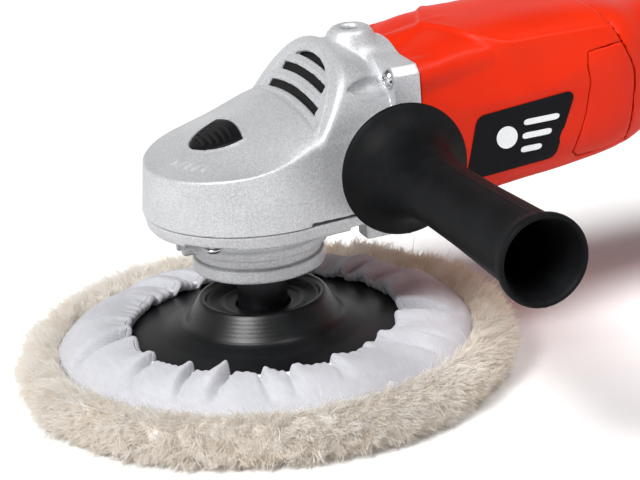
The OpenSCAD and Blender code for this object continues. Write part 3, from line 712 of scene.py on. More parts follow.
def case_field(p):
    """Gear case: its outside and relief, the screw holes, and the room for gears and bearings."""
    x, y, z = p
    side = np.abs(y)
    shape, flange, lugs = case_outside(p)
    shape = both(shape, COVER_TOP_Z - z, 0.6)
    shape = join(shape, np.minimum(flange, lugs), 0.3)
    shape = join(shape, x_rod(p, 50, FLANGE_X, SPIGOT_R, z=SPIGOT_Z, edge=0.8), 0.3)
    shape = shape - hood_relief(p)
    plan = shield(p)
    on_top = step_up((z - 100) / 2) * step_up((20 - x) / 4)
    shape = shape - on_top * 0.45 * bump(plan - 1.3, 0.7) - on_top * 0.6 * step_up(-ticks(p) / 0.8 + 0.5)
    shape = carve(shape, np.maximum(plan - 0.35, 103.3 - z), 0.4)
    for by, bz in CASE_BOLTS:
        sign = 1 if by > 0 else -1
        if bz > 100:
            shape = carve(shape, rod(p, (30, by + sign * 1.5, bz - 2.5), (52, by - sign, bz), 0.6, 6.4), 1.0)
        shape = cut(shape, (x_rod(p, 44, BOLT_SEAT_X, 5.0, by, bz), 0.6),
                    (x_rod(p, 50, FLANGE_X + 2, 2.2, by, bz), 0.3))
    notch = within(z - 81.4 + 0.03 * (x - 8), np.abs(x - 20) - 12, 40 - side)
    behind_slots = within(np.abs(face_place(p)[1] + 4.6) - 1.8, side - 27.6, loft(p, HOOD, -3.5),
                          x - 36.3, 18.2 - x)
    shape = cut(shape, (notch, 0.3), (slot_bands(p), 0.4),
                (z_rod(p, 60, 102.5, 38), 1.5),  # crown gear
                (behind_slots, 0.3),
                (x_rod(p, 19, 40, 11), 0.8),  # pinion
                (x_rod(p, 36, 48.5, 20.2), 0.4),  # front rotor bearing
                (x_rod(p, 48, FLANGE_X + 3, 31), 0.4),  # mouth towards the fan
                (z_rod(p, 97, 108.2, 8), 0.3),  # upper bush
                (z_rod(p, 97, 106, 2.6, x=-18), 0.2),  # lock pin
                (z_rod(p, 141, BOSS_TOP_Z + 3, 4.2, BOSS_X), 0.4),
                (z_rod(p, BOSS_TOP_Z - 1.4, BOSS_TOP_Z + 1, 4.2, BOSS_X, r1=6.6), 0.4))
    for way in (-1, 1):
        shape = carve(shape, rod(p, (SIDE_X, way * 36, SIDE_Z), (SIDE_X, way * 56, SIDE_Z), 4), 0.4)
    for bx, by in COVER_BOLTS:
        shape = carve(shape, z_rod(p, 70, COVER_TOP_Z + 12, 2, bx, by), 0.2)
    return shape


def cover_field(p):
    """Flat cover under the case, with the bearing neck and its collar."""
    x, y, z = p
    plan = head_plan(p, DRUM_R - 0.4 - 0.2 * (COVER_TOP_Z - z))
    top = COVER_TOP_Z - 0.25
    level = np.abs(z - (PLATE_Z + top) / 2) - (top - PLATE_Z) / 2
    plate = both(both(plan, x - COVER_END_X, 0.5), level, 0.7)
    for bx, by in COVER_BOLTS:
        seat = both(np.hypot(x - 1.1 * bx, y - 1.1 * by) - 12.5, z - PLATE_Z - 1.3, 0.3)
        plate = carve(plate, seat, 0.3)
    neck = z_rod(p, 62, COVER_TOP_Z - 1, 30.8, edge=0.8)
    rings = join(z_rod(p, 57.9, 70, 27.8, edge=0.4), z_rod(p, 55, 60, 26.9, edge=0.3), 0.3)
    collar = z_rod(p, COLLAR_Z, 57.2, 28.8, edge=0.9)
    lug = slab(p, (-36, -5, 62), (-20, 5, PLATE_Z + 1), 1.5)
    lug = carve(lug, slab(p, (-40, -3, 60), (-34.5, 3, 70), 0.5), 0.5)
    shape = join(join(plate, neck, 1.2), join(rings, collar, 0.3), 0.4)
    shape = join(shape, lug, 1.0)
    shape = shape + 0.35 * bump(z - 66.2, 0.35) * (np.hypot(x, y) > 24)
    shape = cut(shape, (z_rod(p, 58, 90, 17.5), 0.3),  # lower bearing
                (z_rod(p, 45, 60, 12), 0.4),  # spindle
                (z_rod(p, 76, 90, 36), 0.5))  # room under the crown gear
    for bx, by in COVER_BOLTS:
        shape = carve(shape, z_rod(p, 70, 90, 2.2, bx, by), 0.2)
    return shape


def button_field(p):
    """Spindle lock button: it follows the dome and has finger ridges."""
    x, y, z = p
    top = (z - roof_height(p) - 0.9) * 0.95
    ridges = 0.45 * np.clip(np.sin((x + 0.0074 * y * y + 8.5) / 2.7 * 2 * np.pi) * 1.6, -1, 1)
    top = top + 0.35 - step_up(-(shield(p) + 2.2) / 0.8) * ridges * 0.8
    return both(both(shield(p), top, 0.9), 106.5 - z, 0.4)


def pan_head(p, radius, height, shank_r, shank_l):
    """Cross-recessed pan-head screw about Z, with its head below z = 0."""
    x, y, z = p
    r = np.hypot(x, y)
    crown = both(np.sqrt(r * r + (z - height * 0.2) ** 2 * (radius / height) ** 2 * 0.7) - radius, z, 0.4)
    crown = both(crown, -height - z, 0.5)
    arm = np.minimum(np.maximum(np.abs(x) - 0.5, np.abs(y) - radius * 0.55),
                     np.maximum(np.abs(y) - 0.5, np.abs(x) - radius * 0.55))
    head = carve(crown, within(arm, z + height * 0.35), 0.25)
    return join(head, z_rod(p, -0.5, shank_l, shank_r, edge=0.4), 0.2)


def screws(node, places, radius, height, shank_r, shank_l, turn):
    """The same screw at several places. turn is the rotation that lays its shank along its hole."""
    points, quads = skin(lambda p: pan_head(p, radius, height, shank_r, shank_l),
                         (-radius, -radius, -height), (radius, radius, shank_l), 0.42)
    parts = []
    for i, place in enumerate(places):
        spin = Matrix.Rotation(0.6 + 1.1 * i, 3, "Z")
        parts.append((points @ np.array(turn @ spin).T + np.array(place), quads))
    piece(f"{node}_detailed", *joined(parts), "machine", "chrome_screw", node)


def build_head():
    solid("gear_case", case_field, (-49, -56, 64), (67, 56, 151), 0.85, "cast_aluminium")
    solid("gear_case_cover", cover_field, (-49, -49, 51), (49, 49, 80.5), 0.8, "cast_aluminium")
    solid("spindle_lock_button", button_field, (-28, -17, 106), (-5, 17, 118), 0.4, "black_plastic",
          "lock_button")
    screws("cover_screws", [(x, y, PLATE_Z) for x, y in COVER_BOLTS], 4, 2.8, 1.95, 15, Matrix.Identity(3))
    screws("case_screws", [(BOLT_SEAT_X, y, z) for y, z in CASE_BOLTS], 4.2, 3.2, 2, 28.5,
           Matrix.Rotation(math.pi / 2, 3, "Y"))


# ---- Motor shell ----

# Sections of the housing for loft, the seam as (z, x), and outlines on the side wall as (x, z)
HOUSING = [(60, 39, 67, 138, 5), (65, 39, 67, 138.3, 5), (85, 40.5, 69, 143.6, 4),
           (110, 41, 71.5, 144.5, 3.6), (137, 40.5, 74, 144.5, 3.6), (165, 38, 78.5, 143, 3.6),
           (178, 33, 81, 140.5, 3.2)]
SEAM = [(60, 157), (72, 160), (86, 163), (104, 166), (117, 167), (130, 162), (139, 157.5), (150, 153)]
BRUSH_COVER = [(144.5, 129.5), (143.6, 123.5), (144.4, 116.4), (141.3, 102.2), (135.2, 86), (138.5, 83),
               (159.7, 83.6), (164, 86), (168.5, 117), (163, 131)]
BADGE = [(91, 111.3), (133.7, 114.6), (135.5, 112.4), (126, 86.8), (123.5, 85.3), (85, 82.9), (82.8, 85),
         (88.6, 109)]


def seam_x(p):
    return follow(p[2], SEAM)


def side_limit(x, z):
    """Half width left by the side facets: flat below the crease, leaning in above it."""
    crease = 115 + 0.04 * (x - 73)
    upper = np.maximum(crease, 117 + 0.33 * (x - 124))
    upper = np.minimum(upper, 129.5)
    gentle = 0.05 * np.clip(z - crease, 0, upper - crease)
    return 40.4 - gentle - 0.28 * np.maximum(z - np.maximum(upper, crease), 0)


def housing_outside(p):
    """Outside of the housing: a tube with side facets, a plateau on top, ears, feet and a crown."""
    x, y, z = p
    side = np.abs(y)
    shape = loft(p, HOUSING)
    shape = both(shape, (side - side_limit(x, z)) * 0.97, 0.7)
    plateau = both(82 + 0.42 * side - x, side - 36.3, 16)
    raised = step_up(-plateau / 2.6 + 0.5) * step_up((z - 120) / 6)
    shape = shape - 1.15 * raised - 0.35 * bump(plateau + 1, 1.3) * step_up((z - 120) / 6)
    for way in (-1, 1):
        ear = capsule(p, (62, way * 30.3, 129.9), (97, way * 31.6, 133.4), 8.3, 3.8)
        shape = join(shape, ear, 3)
        foot = capsule(p, (60, way * 31.5, 77), (84, way * 33, 78.5), 9, 5)
        shape = join(shape, foot, 2.5)
    crown = capsule(p, (60, 0, 129.4), (92, 0, 139), 12.2, 5.2)
    return join(shape, crown, 3)


def housing_field(p):
    """Motor housing up to the seam, with the room for fan, stator, brushes, bearing and screws."""
    x, y, z = p
    side = np.abs(y)
    shape = housing_outside(p)
    shape = both(shape, FLANGE_X + 0.35 - x, 0.5)
    shape = both(shape, x - seam_x(p) + 0.3, 0.6)
    cover = np.maximum(outline(x, z, BRUSH_COVER) - 0.35, 34.3 - side)
    shape = carve(shape, cover, 0.5)
    for x0, x1, r in ((50, 78, 31.5), (77, 126, 30.5), (125, 154, 27), (153, 163, 11), (160, 180, 8)):
        shape = carve(shape, x_rod(p, x0, x1, r), 0.4)
    for a in np.radians(range(0, 360, 60)):
        shape = carve(shape, x_rod(p, 150, 180, 3.5, 19 * math.sin(a), MOTOR_Z + 19 * math.cos(a)), 0.4)
    for by, bz in CASE_BOLTS:
        shape = carve(shape, x_rod(p, 60, 83, 2.1, by, bz), 0.3)
    return carve(shape, slab(p, (137.5, -36, 102), (150.5, 36, 112)), 0.3)


def brush_cover_field(way):
    def field(p):
        cover = both(outline(p[0], p[2], BRUSH_COVER), 34.6 - way * p[1], 0.4)
        cover = both(cover, p[0] - seam_x(p) + 0.35, 0.4)
        return both(cover, housing_outside(p), 0.7)
    return field


def on_shell(points, lift):
    """Moves points of the side wall out to the shell, and lifts them off it."""
    x, way, z = points[:, 0], np.sign(points[:, 1]), points[:, 2]
    inner, outer = np.full(len(x), 30.0), np.full(len(x), 50.0)
    for _ in range(24):
        middle = (inner + outer) / 2
        out = housing_outside([x, way * middle, z]) > 0
        inner, outer = np.where(out, inner, middle), np.where(out, middle, outer)
    return np.stack([x, way * (outer + lift), z], 1)


FILM_THICK = 0.3


def decal(name, way, points, lift, *replaced, material=None):
    """A thin closed film on the side wall, made of shrinking rings inside a rounded outline."""
    corner = rounded_loop(points, 2.2, 5)
    centre = corner.mean(0)
    rings = [centre + (corner - centre) * share for share in np.linspace(1, 0.04, 16)]
    count = len(corner)
    level = np.concatenate(rings)
    flat = np.stack([level[:, 0], np.full(len(level), way * 40.0), level[:, 1]], 1)
    layers = [on_shell(flat, height) for height in (lift, lift - FILM_THICK)]
    faces = []
    around = np.arange(count)
    after = (around + 1) % count
    for layer in (0, 1):
        base = layer * len(level)
        turn = 1 if (layer == 0) == (way > 0) else -1
        faces.extend((base + between_rings(len(rings), count))[:, ::turn].tolist())
        faces.append((base + len(level) - count + around)[::turn].tolist())
    rim = np.stack([around, around + len(level), after + len(level), after], 1)
    faces.extend(rim[:, ::way].tolist())
    piece(name, np.concatenate(layers), faces, "machine", "badge_film", *replaced, material=material,
          sharp=50)


MARK_LIFT = 0.75


def badge_marks(way, side):
    """Plain graphic on the badge: a disc beside slanted bars of three lengths. It spells nothing."""
    pale = grained("badge_ink", (0.62, 0.63, 0.65), (0.75, 0.76, 0.78), 1.0, 0.005, 0.4)
    slant = 0.23
    disc = [(102.5 + 5 * math.cos(a), 99.5 + 5 * math.sin(a)) for a in np.radians(range(0, 360, 20))]
    decal(f"badge_mark_disc_{side}", way, disc, MARK_LIFT, material=pale)
    for i, (z, start, length) in enumerate(((104.6, 110.5, 17), (98.6, 109.5, 14), (92.6, 108.5, 10))):
        bar = [(start, z - 1.3), (start + length, z - 1.3), (start + length + slant * 2.6, z + 1.3),
               (start + slant * 2.6, z + 1.3)]
        decal(f"badge_mark_bar_{i + 1}_{side}", way, bar, MARK_LIFT, material=pale)


def build_shell():
    solid("motor_housing", housing_field, (65, -45, 64), (169, 45, 149), 1.0, "orange_shell")
    for way, side in SIDES:
        low, high = sorted((way * 34, way * 42))
        solid(f"brush_cover_{side}", brush_cover_field(way), (134, low, 82), (170, high, 132), 0.6,
              "orange_shell")
        decal(f"badge_{side}_film", way, BADGE, 0.5, f"badge_{side}")
        badge_marks(way, side)


# ---- Rear handle ----

# Sections of the handle for loft, and places as (x, z)
HANDLE = [(150, 39, 77, 143.6, 3.6), (165, 38, 78.5, 143, 3.6), (178, 33, 81, 140.5, 3),
          (195, 29, 84, 139, 2.6), (218, 27, 84, 139, 2.6), (245, 24.5, 84, 133, 2.4),
          (330, 24, 85, 131, 2.4), (384, 27, 82, 134, 2.4), (398, 25, 86, 130, 2.4)]
LOCK_ON = (252, 104)
TRIGGER_AT = (230, 91)
DIAL_AT = (212, 130)


def handle_outside(p):
    shape = both(loft(p, HANDLE), (np.abs(p[1]) - side_limit(p[0], p[2])) * 0.97, 0.7)
    return both(shape, p[0] - 398, 3)


def handle_field(way):
    """One half of the rear handle, with its bosses and its openings."""
    def field(p):
        x, y, _ = p
        shell = handle_outside(p)
        hollow = both(loft(p, HANDLE, -3), x - 394.5, 1)
        hollow = both(hollow, seam_x(p) + 3 - x, 0.5)
        shape = carve(shell, hollow, 0.8)
        bosses = np.minimum.reduce([y_rod(p, -40, 40, 4.5, at) for at in HANDLE_BOLTS])
        bosses = np.minimum(bosses, y_rod(p, -40, 40, 5, TRIGGER_AT))
        shape = join(shape, both(bosses, loft(p, HANDLE, -1), 0.4), 0.6)
        shape = both(shape, 0.06 - way * y, 0.35)
        shape = both(shape, seam_x(p) + 0.3 - x, 0.6)
        shape = cut(shape, (slab(p, (221, -10, 60), (297, 10, 98), 1.0), 0.8),  # trigger
                    (slab(p, (198, -4, 120), (226, 4, 160), 0.8), 0.6))  # dial
        for at in HANDLE_BOLTS:
            shape = cut(shape, (y_rod(p, 16, 60, 3.8, at), 0.5), (y_rod(p, -14, 18, 1.8, at), 0.3))
        return cut(shape, (y_rod(p, -16, 16, 2, TRIGGER_AT), 0.3), (y_rod(p, -60, -12, 5.4, LOCK_ON), 0.5),
                   (x_rod(p, 388, 402, 8, z=CORD_Z), 0.5))
    return field


def grip_pad_field(way):
    """Soft panel moulded over a handle half, with rows of small grip ribs."""
    def field(p):
        x, y, _ = p
        ribs = 0.25 * np.sin(x / 3.2 * 2 * np.pi) * step_up((x - 246) / 4) * step_up((377 - x) / 4)
        skin_out = loft(p, HANDLE, 1.2) - ribs
        panel = both(8 - way * y, np.abs(x - 311.5) - 71.5, 6)
        shape = both(both(skin_out, panel, 0.8), -loft(p, HANDLE, 0.02), 0.3)
        shape = carve(shape, slab(p, (220, -11, 60), (298, 11, 99), 1), 0.5)
        for at in HANDLE_BOLTS:
            shape = carve(shape, y_rod(p, 16, 60, 4.2, at), 0.4)
        return carve(shape, y_rod(p, -60, -12, 6, LOCK_ON), 0.4)
    return field


def trigger_field(p):
    """Paddle trigger with a shallow finger hollow."""
    x, y, z = p
    side = [(224, 93), (291, 93), (292, 87), (287, 79.5), (276, 75.5), (262, 75), (244, 78), (229, 84.5),
            (224.5, 88)]
    shape = both(outline(x, z, side), np.abs(y) - 9.3, 2.2)
    shape = shape + 0.5 * bump(x - 266, 12) * step_up((84 - z) / 4)
    return carve(shape, y_rod(p, -20, 20, 2.05, TRIGGER_AT), 0.3)


def lock_on_field(p):
    shape = join(y_rod(p, -28.5, -14.5, 5, LOCK_ON, 1.0), y_rod(p, -19.2, -17.7, 6.5, LOCK_ON), 0.2)
    x, z = LOCK_ON
    return carve(shape, capsule(p, (x, -32.5, z), (x, -33.5, z), 4.8, 4.8), 0.5)


def dial_field(p):
    x, _, z = p
    angle = np.arctan2(z - DIAL_AT[1], x - DIAL_AT[0])
    wheel = y_rod(p, -3.5, 3.5, 11.75, DIAL_AT, 0.8) - 0.25 * np.sin(24 * angle)
    return join(wheel, y_rod(p, -8, 8, 1.95, DIAL_AT), 0.3)


def gland_field(p):
    """Cord gland: a tapering sleeve with rings that let it bend."""
    x, y, z = p
    out = np.hypot(y, z - CORD_Z)
    sleeve = both(out - follow(x, [(388, 8), (398, 8), (432, 5.6), (440, 5)]), np.abs(x - 411.2) - 20.7, 0.8)
    sleeve = sleeve + 0.7 * step_up((np.sin((x - 404) / 5 * 2 * np.pi) - 0.3) / 0.4) * (x > 402) * (x < 429)
    flange = both(out - 11, np.abs(x - 392.5) - 2, 0.5)
    return carve(join(sleeve, flange, 0.3), x_rod(p, 385, 440, 4.1, z=CORD_Z), 0.4)


def build_handle():
    for way, side in SIDES:
        low, high = sorted((0.0, way * 41.0))
        solid(f"rear_handle_{side}", handle_field(way), (150, low, 75), (399, high, 146), 1.25,
              "orange_shell")
        low, high = sorted((way * 5.0, way * 30.0))
        solid(f"grip_pad_{side}", grip_pad_field(way), (239, low, 80), (384, high, 137), 0.9, "grip_rubber")
    solid("trigger", trigger_field, (223, -10, 74), (293, 10, 94), 0.8, "black_plastic", "trigger")
    solid("lock_on_button", lock_on_field, (245, -29, 97), (259, -14, 111), 0.45, "black_plastic", "lock_on")
    solid("speed_dial", dial_field, (199, -9, 117), (225, 9, 143), 0.5, "black_plastic", "dial")
    solid("cord_gland", gland_field, (390, -12, 96), (433, 12, 120), 0.6, "grip_rubber")
    screws("handle_screws", [(x, 16, z) for x, z in HANDLE_BOLTS], 3.5, 2.6, 1.75, 29,
           Matrix.Rotation(math.pi / 2, 3, "X"))


# ---- Side handle ----

def build_side_handle():
    """Trumpet guard, waisted grip and flared hollow end, with the line that its mould left."""
    end = -GRIP_LOW[1]
    guard = (GRIP_HIGH[0] - GRIP_LOW[0]) / 2
    profile = [(4, 54), (12, 54), (12, 58.5), (20, 59.2), (guard, 60.3), (guard, 62.5), (25, 64.6),
               (20.6, 69), (16.9, 76.5), (14.8, 88), (14, 102), (14.3, 130), (15.8, 172), (16.3, 180.5),
               (18.2, end - 4.5), (guard - 9.6, end - 2.5), (18.5, end), (16.6, end), (14.3, 182.5),
               (12, 172), (10.5, 110),
               (6, 105), (0.2, 105), (0.2, 90), (4, 90)]
    smooth = refined(rounded_loop(profile, 3.0, 5), 1.6)
    sides = 288
    points, faces = turned(smooth, sides)
    angle = np.arctan2(points[:, 1], points[:, 0])
    r = np.hypot(points[:, 0], points[:, 1])
    line = sum(bump((np.angle(np.exp(1j * (angle - at)))) * r, 0.45) for at in (np.pi / 2, -np.pi / 2))
    outer = np.repeat(np.arange(len(smooth)) < len(smooth) * 0.66, sides) & (r > 12.5)
    grow = 1 + np.where(outer, 0.22 * line, 0) / np.maximum(r, 1)
    points = np.stack([SIDE_X + points[:, 0] * grow, -points[:, 2], SIDE_Z + points[:, 1] * grow], 1)
    piece("side_handle_grip_skin", points, faces, "machine", "grip_rubber", "side_handle_grip", sharp=55)


# ---- Pad and bonnet ----

def build_pad():
    """Backing pad: a dished disc with a conical hub whose top is sunk round the nut."""
    profile = [(0.3, 10), (84, 10), (PAD_R - 1.5, 11.5), (PAD_R, 14), (PAD_R - 1, 16.5), (80, 18.2),
               (62, 20.3), (45, 23), (36, 25.6), (34.3, 27), (28.4, 36.2), (27.2, 37), (25.6, 36.6),
               (24.4, 33.6), (21, 33), (17.6, 33.6), (16.6, 32.6), (12.2, 32.6), (12, 31), (NUT_R, 31),
               (NUT_R, 25), (0.3, 25)]
    points, faces = turned(refined(rounded_loop(profile, 1.2, 4), 1.5), 256)
    piece("backing_pad_skin", points, faces[:, ::-1], "spindle", "pad_rubber", "backing_pad", sharp=40)
    nut = [(7, 25), (NUT_R, 25), (NUT_R, 31), (11, 31), (11, 49.2), (10.4, 50), (7, 50)]
    points, faces = turned(refined(rounded_loop(nut, 0.8, 3), 2), 128)
    piece("pad_nut_skin", points, faces[:, ::-1], "spindle", "black_oxide", "pad_nut", sharp=40)


HEM_R = 61.6
HEM_Z = 22.7


def pleats(angle, drift, seed):
    """Long gathers at uneven angles: each a ridge, gentle on one side, with a crease under its steep side."""
    rng = np.random.default_rng(seed)
    count = 22
    at = (np.arange(count) + rng.uniform(-0.32, 0.32, count)) * 2 * np.pi / count
    total = np.zeros(np.broadcast(angle, drift).shape)
    for a in at:
        tall = rng.uniform(0.45, 1.15)
        wide = rng.uniform(0.035, 0.06) * (1 + 0.7 * drift)
        steep = rng.choice([-1, 1], p=[0.3, 0.7])
        lean = rng.uniform(-0.1, 0.16)
        reach = rng.uniform(0.75, 1.4)
        off = np.angle(np.exp(1j * (angle - a - lean * drift))) * steep / wide
        ridge = np.where(off < 0, np.exp(-(off / 1.5) ** 2), np.exp(-(off / 0.5) ** 2))
        crease = np.exp(-((off - 0.95) / 0.42) ** 2)
        total = total + tall * (ridge - 0.85 * crease) * np.clip(1 - drift / reach, 0, 1) ** 0.7
    return total


def build_skirt():
    """Gathered cotton band: from under the pile over the pad's edge to a hem that runs round the elastic."""
    turn_in = [(HEM_R + 2.1 * math.cos(a), HEM_Z + 2.1 * math.sin(a)) for a in np.radians(range(80, 330, 25))]
    path = [(90.2, 9.9), (91.4, 13), (91.2, 16.4), (88.6, 19.8), (82, 22.8), (74, 24.8), (67, 25.2)] + turn_in
    path = refined(rounded(path, 3, 4), 0.9)
    sides = 1440
    angle = np.linspace(0, 2 * np.pi, sides, endpoint=False)
    r, z = path[:, 0][:, None], path[:, 1][:, None]
    inward = np.clip((90 - r) / (90 - HEM_R), 0, 1)
    swing = pleats(angle[None, :], 1 - inward, 5)
    near_hem = step_up(inward * 3.5)
    waves = 0.5 * np.sin(5 * angle + 1.0) + 0.35 * np.sin(9 * angle + 2.1) + 0.3 * np.sin(14 * angle)
    ripple = np.sin(96 * angle + 2 * np.sin(7 * angle)) * 0.25 * step_up((inward - 0.72) / 0.28)
    puff = np.sin(np.pi * np.clip(inward, 0, 1)) ** 1.3
    z_new = z + swing * 3.9 * near_hem + puff * (0.7 + 0.9 * waves) + ripple + 0.6 * waves * near_hem
    r_new = r - swing * 1.5 * step_up((inward - 0.55) / 0.45) + 0.6 * waves * (1 - inward)
    floor = follow(r, [(60, 20.9), (62, 20.6), (80, 18.7), (88, 17.0), (89.3, 14), (95, 10)]) + 0.35
    z_new = np.where(r > 64, np.maximum(z_new, floor + 0 * z_new), np.maximum(z_new, 21.0))
    points = np.stack([r_new * np.cos(angle), r_new * np.sin(angle), z_new], -1).reshape(-1, 3)
    skirt = piece("bonnet_skirt_cloth", points, between_rings(len(path), sides), "spindle", "cotton_skirt",
                  "bonnet_skirt")
    thick = skirt.modifiers.new("thickness", "SOLIDIFY")
    thick.thickness = 0.45 * MM
    thick.offset = 0


def pile_profile():
    """The pile's own outline as (radius, height), from beside the skirt over the top to the face."""
    r = PILE_R
    corners = [(91.2, 12), (92.8, 18), (r - 10, 19.8), (r - 4.5, 17.8), (r - 2, 12.5), (r - 2.4, 6),
               (r - 7, 1.2), (r - 14, 0.4)]
    return refined(rounded(corners, 3, 4), 1.2)


SECTORS = 8
LOCKS = 560
HAIRS = 18
WOOL_R = 112
# A hair's four rings along its length, and the directions of the three points in each ring
LEVELS = np.array([0, 0.35, 0.7, 1])
THIRDS = (0, 2.094, 4.189)


def set_tone(wool_piece, tones):
    """Gives each point the tone that the wool finish reads."""
    tone = wool_piece.data.attributes.new("tone", "FLOAT", "POINT")
    tone.data.foreach_set("value", tones.astype(np.float32))


def unit(vectors):
    return vectors / np.maximum(np.linalg.norm(vectors, axis=1), 1e-6)[:, None]


def build_pile():
    """Wool: a lumpy fleece under thousands of tapering locks of hair."""
    rng = np.random.default_rng(11)
    under = [(r, 0.4) for r in np.linspace(PILE_R - 16, 0.3, 40)]
    back = [(r, 9.4) for r in np.linspace(0.3, 90.8, 30)]
    profile = np.concatenate([pile_profile(), under, back])
    points, faces = turned(profile, 360)
    angle = np.arctan2(points[:, 1], points[:, 0])
    r = np.hypot(points[:, 0], points[:, 1])
    z = points[:, 2]
    lump = np.sin(17 * angle + 0.3 * z) + np.sin(29 * angle + 1.3) + np.sin(47 * angle - 0.4 * z)
    grow = 1 + np.where(r > 92, 0.5 * lump, 0) / np.maximum(r, 1)
    points[:, :2] *= grow[:, None]
    fleece = piece("bonnet_pile_fleece", points, faces[:, ::-1], "spindle", "wool_pile", "bonnet_pile")
    # Painted shade: the fleece under the locks gets a darker tone than the hair tips, lighter on its lumps
    # and darker between them.
    set_tone(fleece, 0.6 + 0.06 * lump)

    edge = pile_profile()
    reach = np.concatenate([[0], np.cumsum(np.linalg.norm(np.diff(edge, axis=0), axis=1))])
    for s in range(SECTORS):
        build_locks(s, edge, reach, rng)


def build_locks(sector, edge, reach, rng):
    """One sector of wool: locks whose hairs start apart and draw together at a curled tip."""
    def on_edge(share_of_reach, around):
        """Points on the pile's outline, at an angle around the spindle."""
        r, z = (np.interp(share_of_reach * reach[-1], reach, edge[:, k]) for k in (0, 1))
        return np.stack([r * np.cos(around), r * np.sin(around), z], 1)

    a = rng.uniform(sector, sector + 1, LOCKS) * 2 * np.pi / SECTORS
    share = rng.uniform(0, 0.86, LOCKS)
    patch = 0.5 + 0.3 * np.sin(3 * a + 1.2) * np.sin(7 * a + 0.4)
    patch = patch + 0.3 * np.sin(37 * a) * np.sin(53 * a + 6 * share)
    climb = np.interp(share, [0, 0.25, 0.5, 0.75, 1], [0.95, 0.6, 0.1, -0.2, -0.2])
    climb = climb + rng.normal(0, 0.28, LOCKS)
    turn = rng.normal(0, 0.42, LOCKS)
    length = np.interp(share, [0, 0.2, 0.5, 1], [4, 5, 5.6, 5]) * rng.uniform(0.65, 1.35, LOCKS)
    length = length * (0.65 + 0.7 * patch)
    beige = 0.42 * bump(np.angle(np.exp(1j * (a - 0.25))), 0.85) + 0.25 * share + 0.2 * (1 - patch)
    lock_tone = np.clip(rng.normal(0.9, 0.1, LOCKS) - beige, 0.05, 1)

    lock = np.repeat(np.arange(LOCKS), HAIRS)
    count = len(lock)
    own_a = a[lock] + rng.normal(0, 0.016, count)
    root = on_edge(np.clip(share[lock] + rng.normal(0, 0.04, count), 0, 0.9), own_a)
    middle = on_edge(share[lock], a[lock])
    way = unit(np.stack([np.cos(a + turn), np.sin(a + turn), climb], 1))
    stray = rng.uniform(0, 1, count) ** 3
    spread = rng.normal(0, 1, (count, 3)) * (0.7 + 2.2 * stray)[:, None]
    tip = middle + way[lock] * (length[lock] * rng.uniform(0.75, 1.1, count))[:, None] + spread
    tip = tip + (root - middle) * 0.35
    curl = rng.normal(0, 1, (LOCKS, 3))[lock] * 0.9 + rng.normal(0, 0.45, (count, 3))
    root = root - 1.2 * way[lock]
    along = tip - root
    side = unit(np.cross(along, [0.0, 0.0, 1.0]))
    lift = unit(np.cross(side, along))
    width = rng.uniform(0.12, 0.26, count)
    rows = []
    for level in LEVELS:
        centre = root + along * level + curl * math.sin(level * 2.7)
        thin = width * (1 - 0.92 * level ** 1.5)
        for third in THIRDS:
            sideways = side * (thin * math.cos(third))[:, None]
            rows.append(centre + sideways + lift * (thin * math.sin(third))[:, None])
    points = np.stack(rows, 1)
    far = np.hypot(points[..., 0], points[..., 1])
    points[..., :2] *= np.minimum(1, WOOL_R / far)[..., None]
    points[..., 2] = np.maximum(points[..., 2], 0.25)
    base = np.arange(count)[:, None] * 12
    quads = [base + np.array([[3 * i + k, 3 * i + (k + 1) % 3, 3 * i + 3 + (k + 1) % 3, 3 * i + 3 + k]])
             for i in range(3) for k in range(3)]
    locks = piece(f"bonnet_pile_locks_{sector + 1}", points.reshape(-1, 3), np.concatenate(quads), "spindle",
                  "wool_pile")
    shade = lock_tone[lock][:, None] * 0.75 + rng.uniform(0, 0.1, count)[:, None]
    # Painted shade: each hair's tone rises from root to tip, so the roots deep in the wool are darker.
    shade = shade + np.repeat(LEVELS, 3)[None, :] * 0.15
    set_tone(locks, np.clip(shade, 0, 1).ravel())


# ---- Scene ----

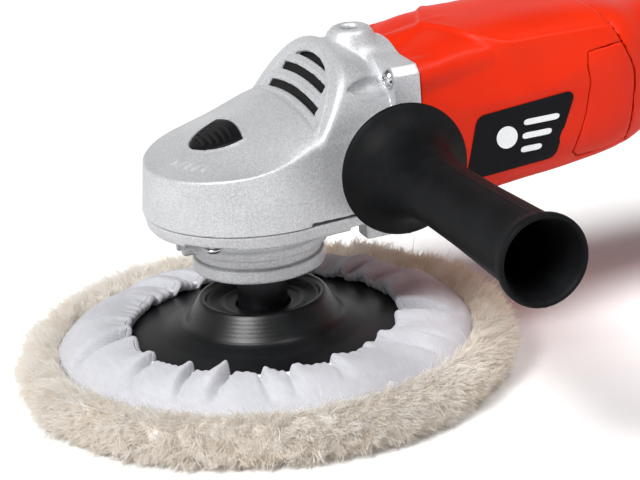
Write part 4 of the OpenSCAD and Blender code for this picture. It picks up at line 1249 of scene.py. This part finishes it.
def build_camera():
    """A long lens in front and to the left of the head, a little rolled."""
    azimuth, elevation, roll = np.radians([-20.69, 20.15, -4.52])
    target = Vector((0.0272, -0.0042, 0.0567))
    distance = 1.1364
    right = Vector((math.cos(azimuth), math.sin(azimuth), 0))
    back = Vector((math.sin(azimuth) * math.cos(elevation), -math.cos(azimuth) * math.cos(elevation),
                   math.sin(elevation)))
    up = back.cross(right)
    across = right * math.cos(roll) + up * math.sin(roll)
    upward = up * math.cos(roll) - right * math.sin(roll)
    data = bpy.data.cameras.new("camera")
    data.sensor_width = 36
    data.lens = 146.25
    data.clip_start = 0.05
    data.clip_end = 20
    camera = placed("camera", data)
    camera.matrix_world = Matrix((across, upward, back)).transposed().to_4x4()
    camera.location = target + back * distance
    bpy.context.scene.camera = camera


def light(name, kind, way, power):
    """A light that shines a given way."""
    data = bpy.data.lights.new(name, kind)
    data.energy = power
    made = placed(name, data)
    made.rotation_euler = Vector(way).to_track_quat("-Z", "Y").to_euler()
    return made


def build_studio():
    """White floor, a sky that is bright below and dim above, a soft sun and a lamp over the head."""
    f = Finish("floor_paper", roughness=0.9)
    f.colour(f.ramp(f.noise(60, 3), [(0.3, (0.86, 0.86, 0.86)), (0.7, (0.9, 0.9, 0.9))]))
    mesh = bpy.data.meshes.new("floor")
    reach = 6.0
    square = [(-reach, -reach, 0), (reach, -reach, 0), (reach, reach, 0), (-reach, reach, 0)]
    mesh.from_pydata(square, [], [(0, 1, 2, 3)])
    mesh.materials.append(f.material)
    placed("floor", mesh)
    world = bpy.data.worlds.new("studio")
    bpy.context.scene.world = world
    world.use_nodes = True
    tree = world.node_tree
    height = tree.nodes.new("ShaderNodeSeparateXYZ")
    tree.links.new(tree.nodes.new("ShaderNodeTexCoord").outputs["Generated"], height.inputs["Vector"])
    sky = tree.nodes.new("ShaderNodeValToRGB")
    for item, (position, tone) in zip(sky.color_ramp.elements, ((0.2, 1.0), (0.45, 0.14))):
        item.position = position
        item.color = (tone, tone, tone, 1)
    tree.links.new(height.outputs["Z"], sky.inputs["Fac"])
    tree.links.new(sky.outputs["Color"], tree.nodes["Background"].inputs["Color"])
    tree.nodes["Background"].inputs["Strength"].default_value = 0.9
    key = light("key", "SUN", (0.88, 0.5, -1.15), 3.7)
    key.data.angle = math.radians(26)
    place, aim = Vector((0.38, -0.4, 1.1)), Vector((0.03, 0, 0.08))
    top = light("top", "AREA", aim - place, 5.5)
    top.location = place
    top.data.size = 0.4
    bpy.context.scene.view_settings.view_transform = "Standard"


build_camera()
build_studio()
FINISH = dress_nodes()
build_head()
build_shell()
build_handle()
build_side_handle()
build_pad()
build_skirt()
build_pile()
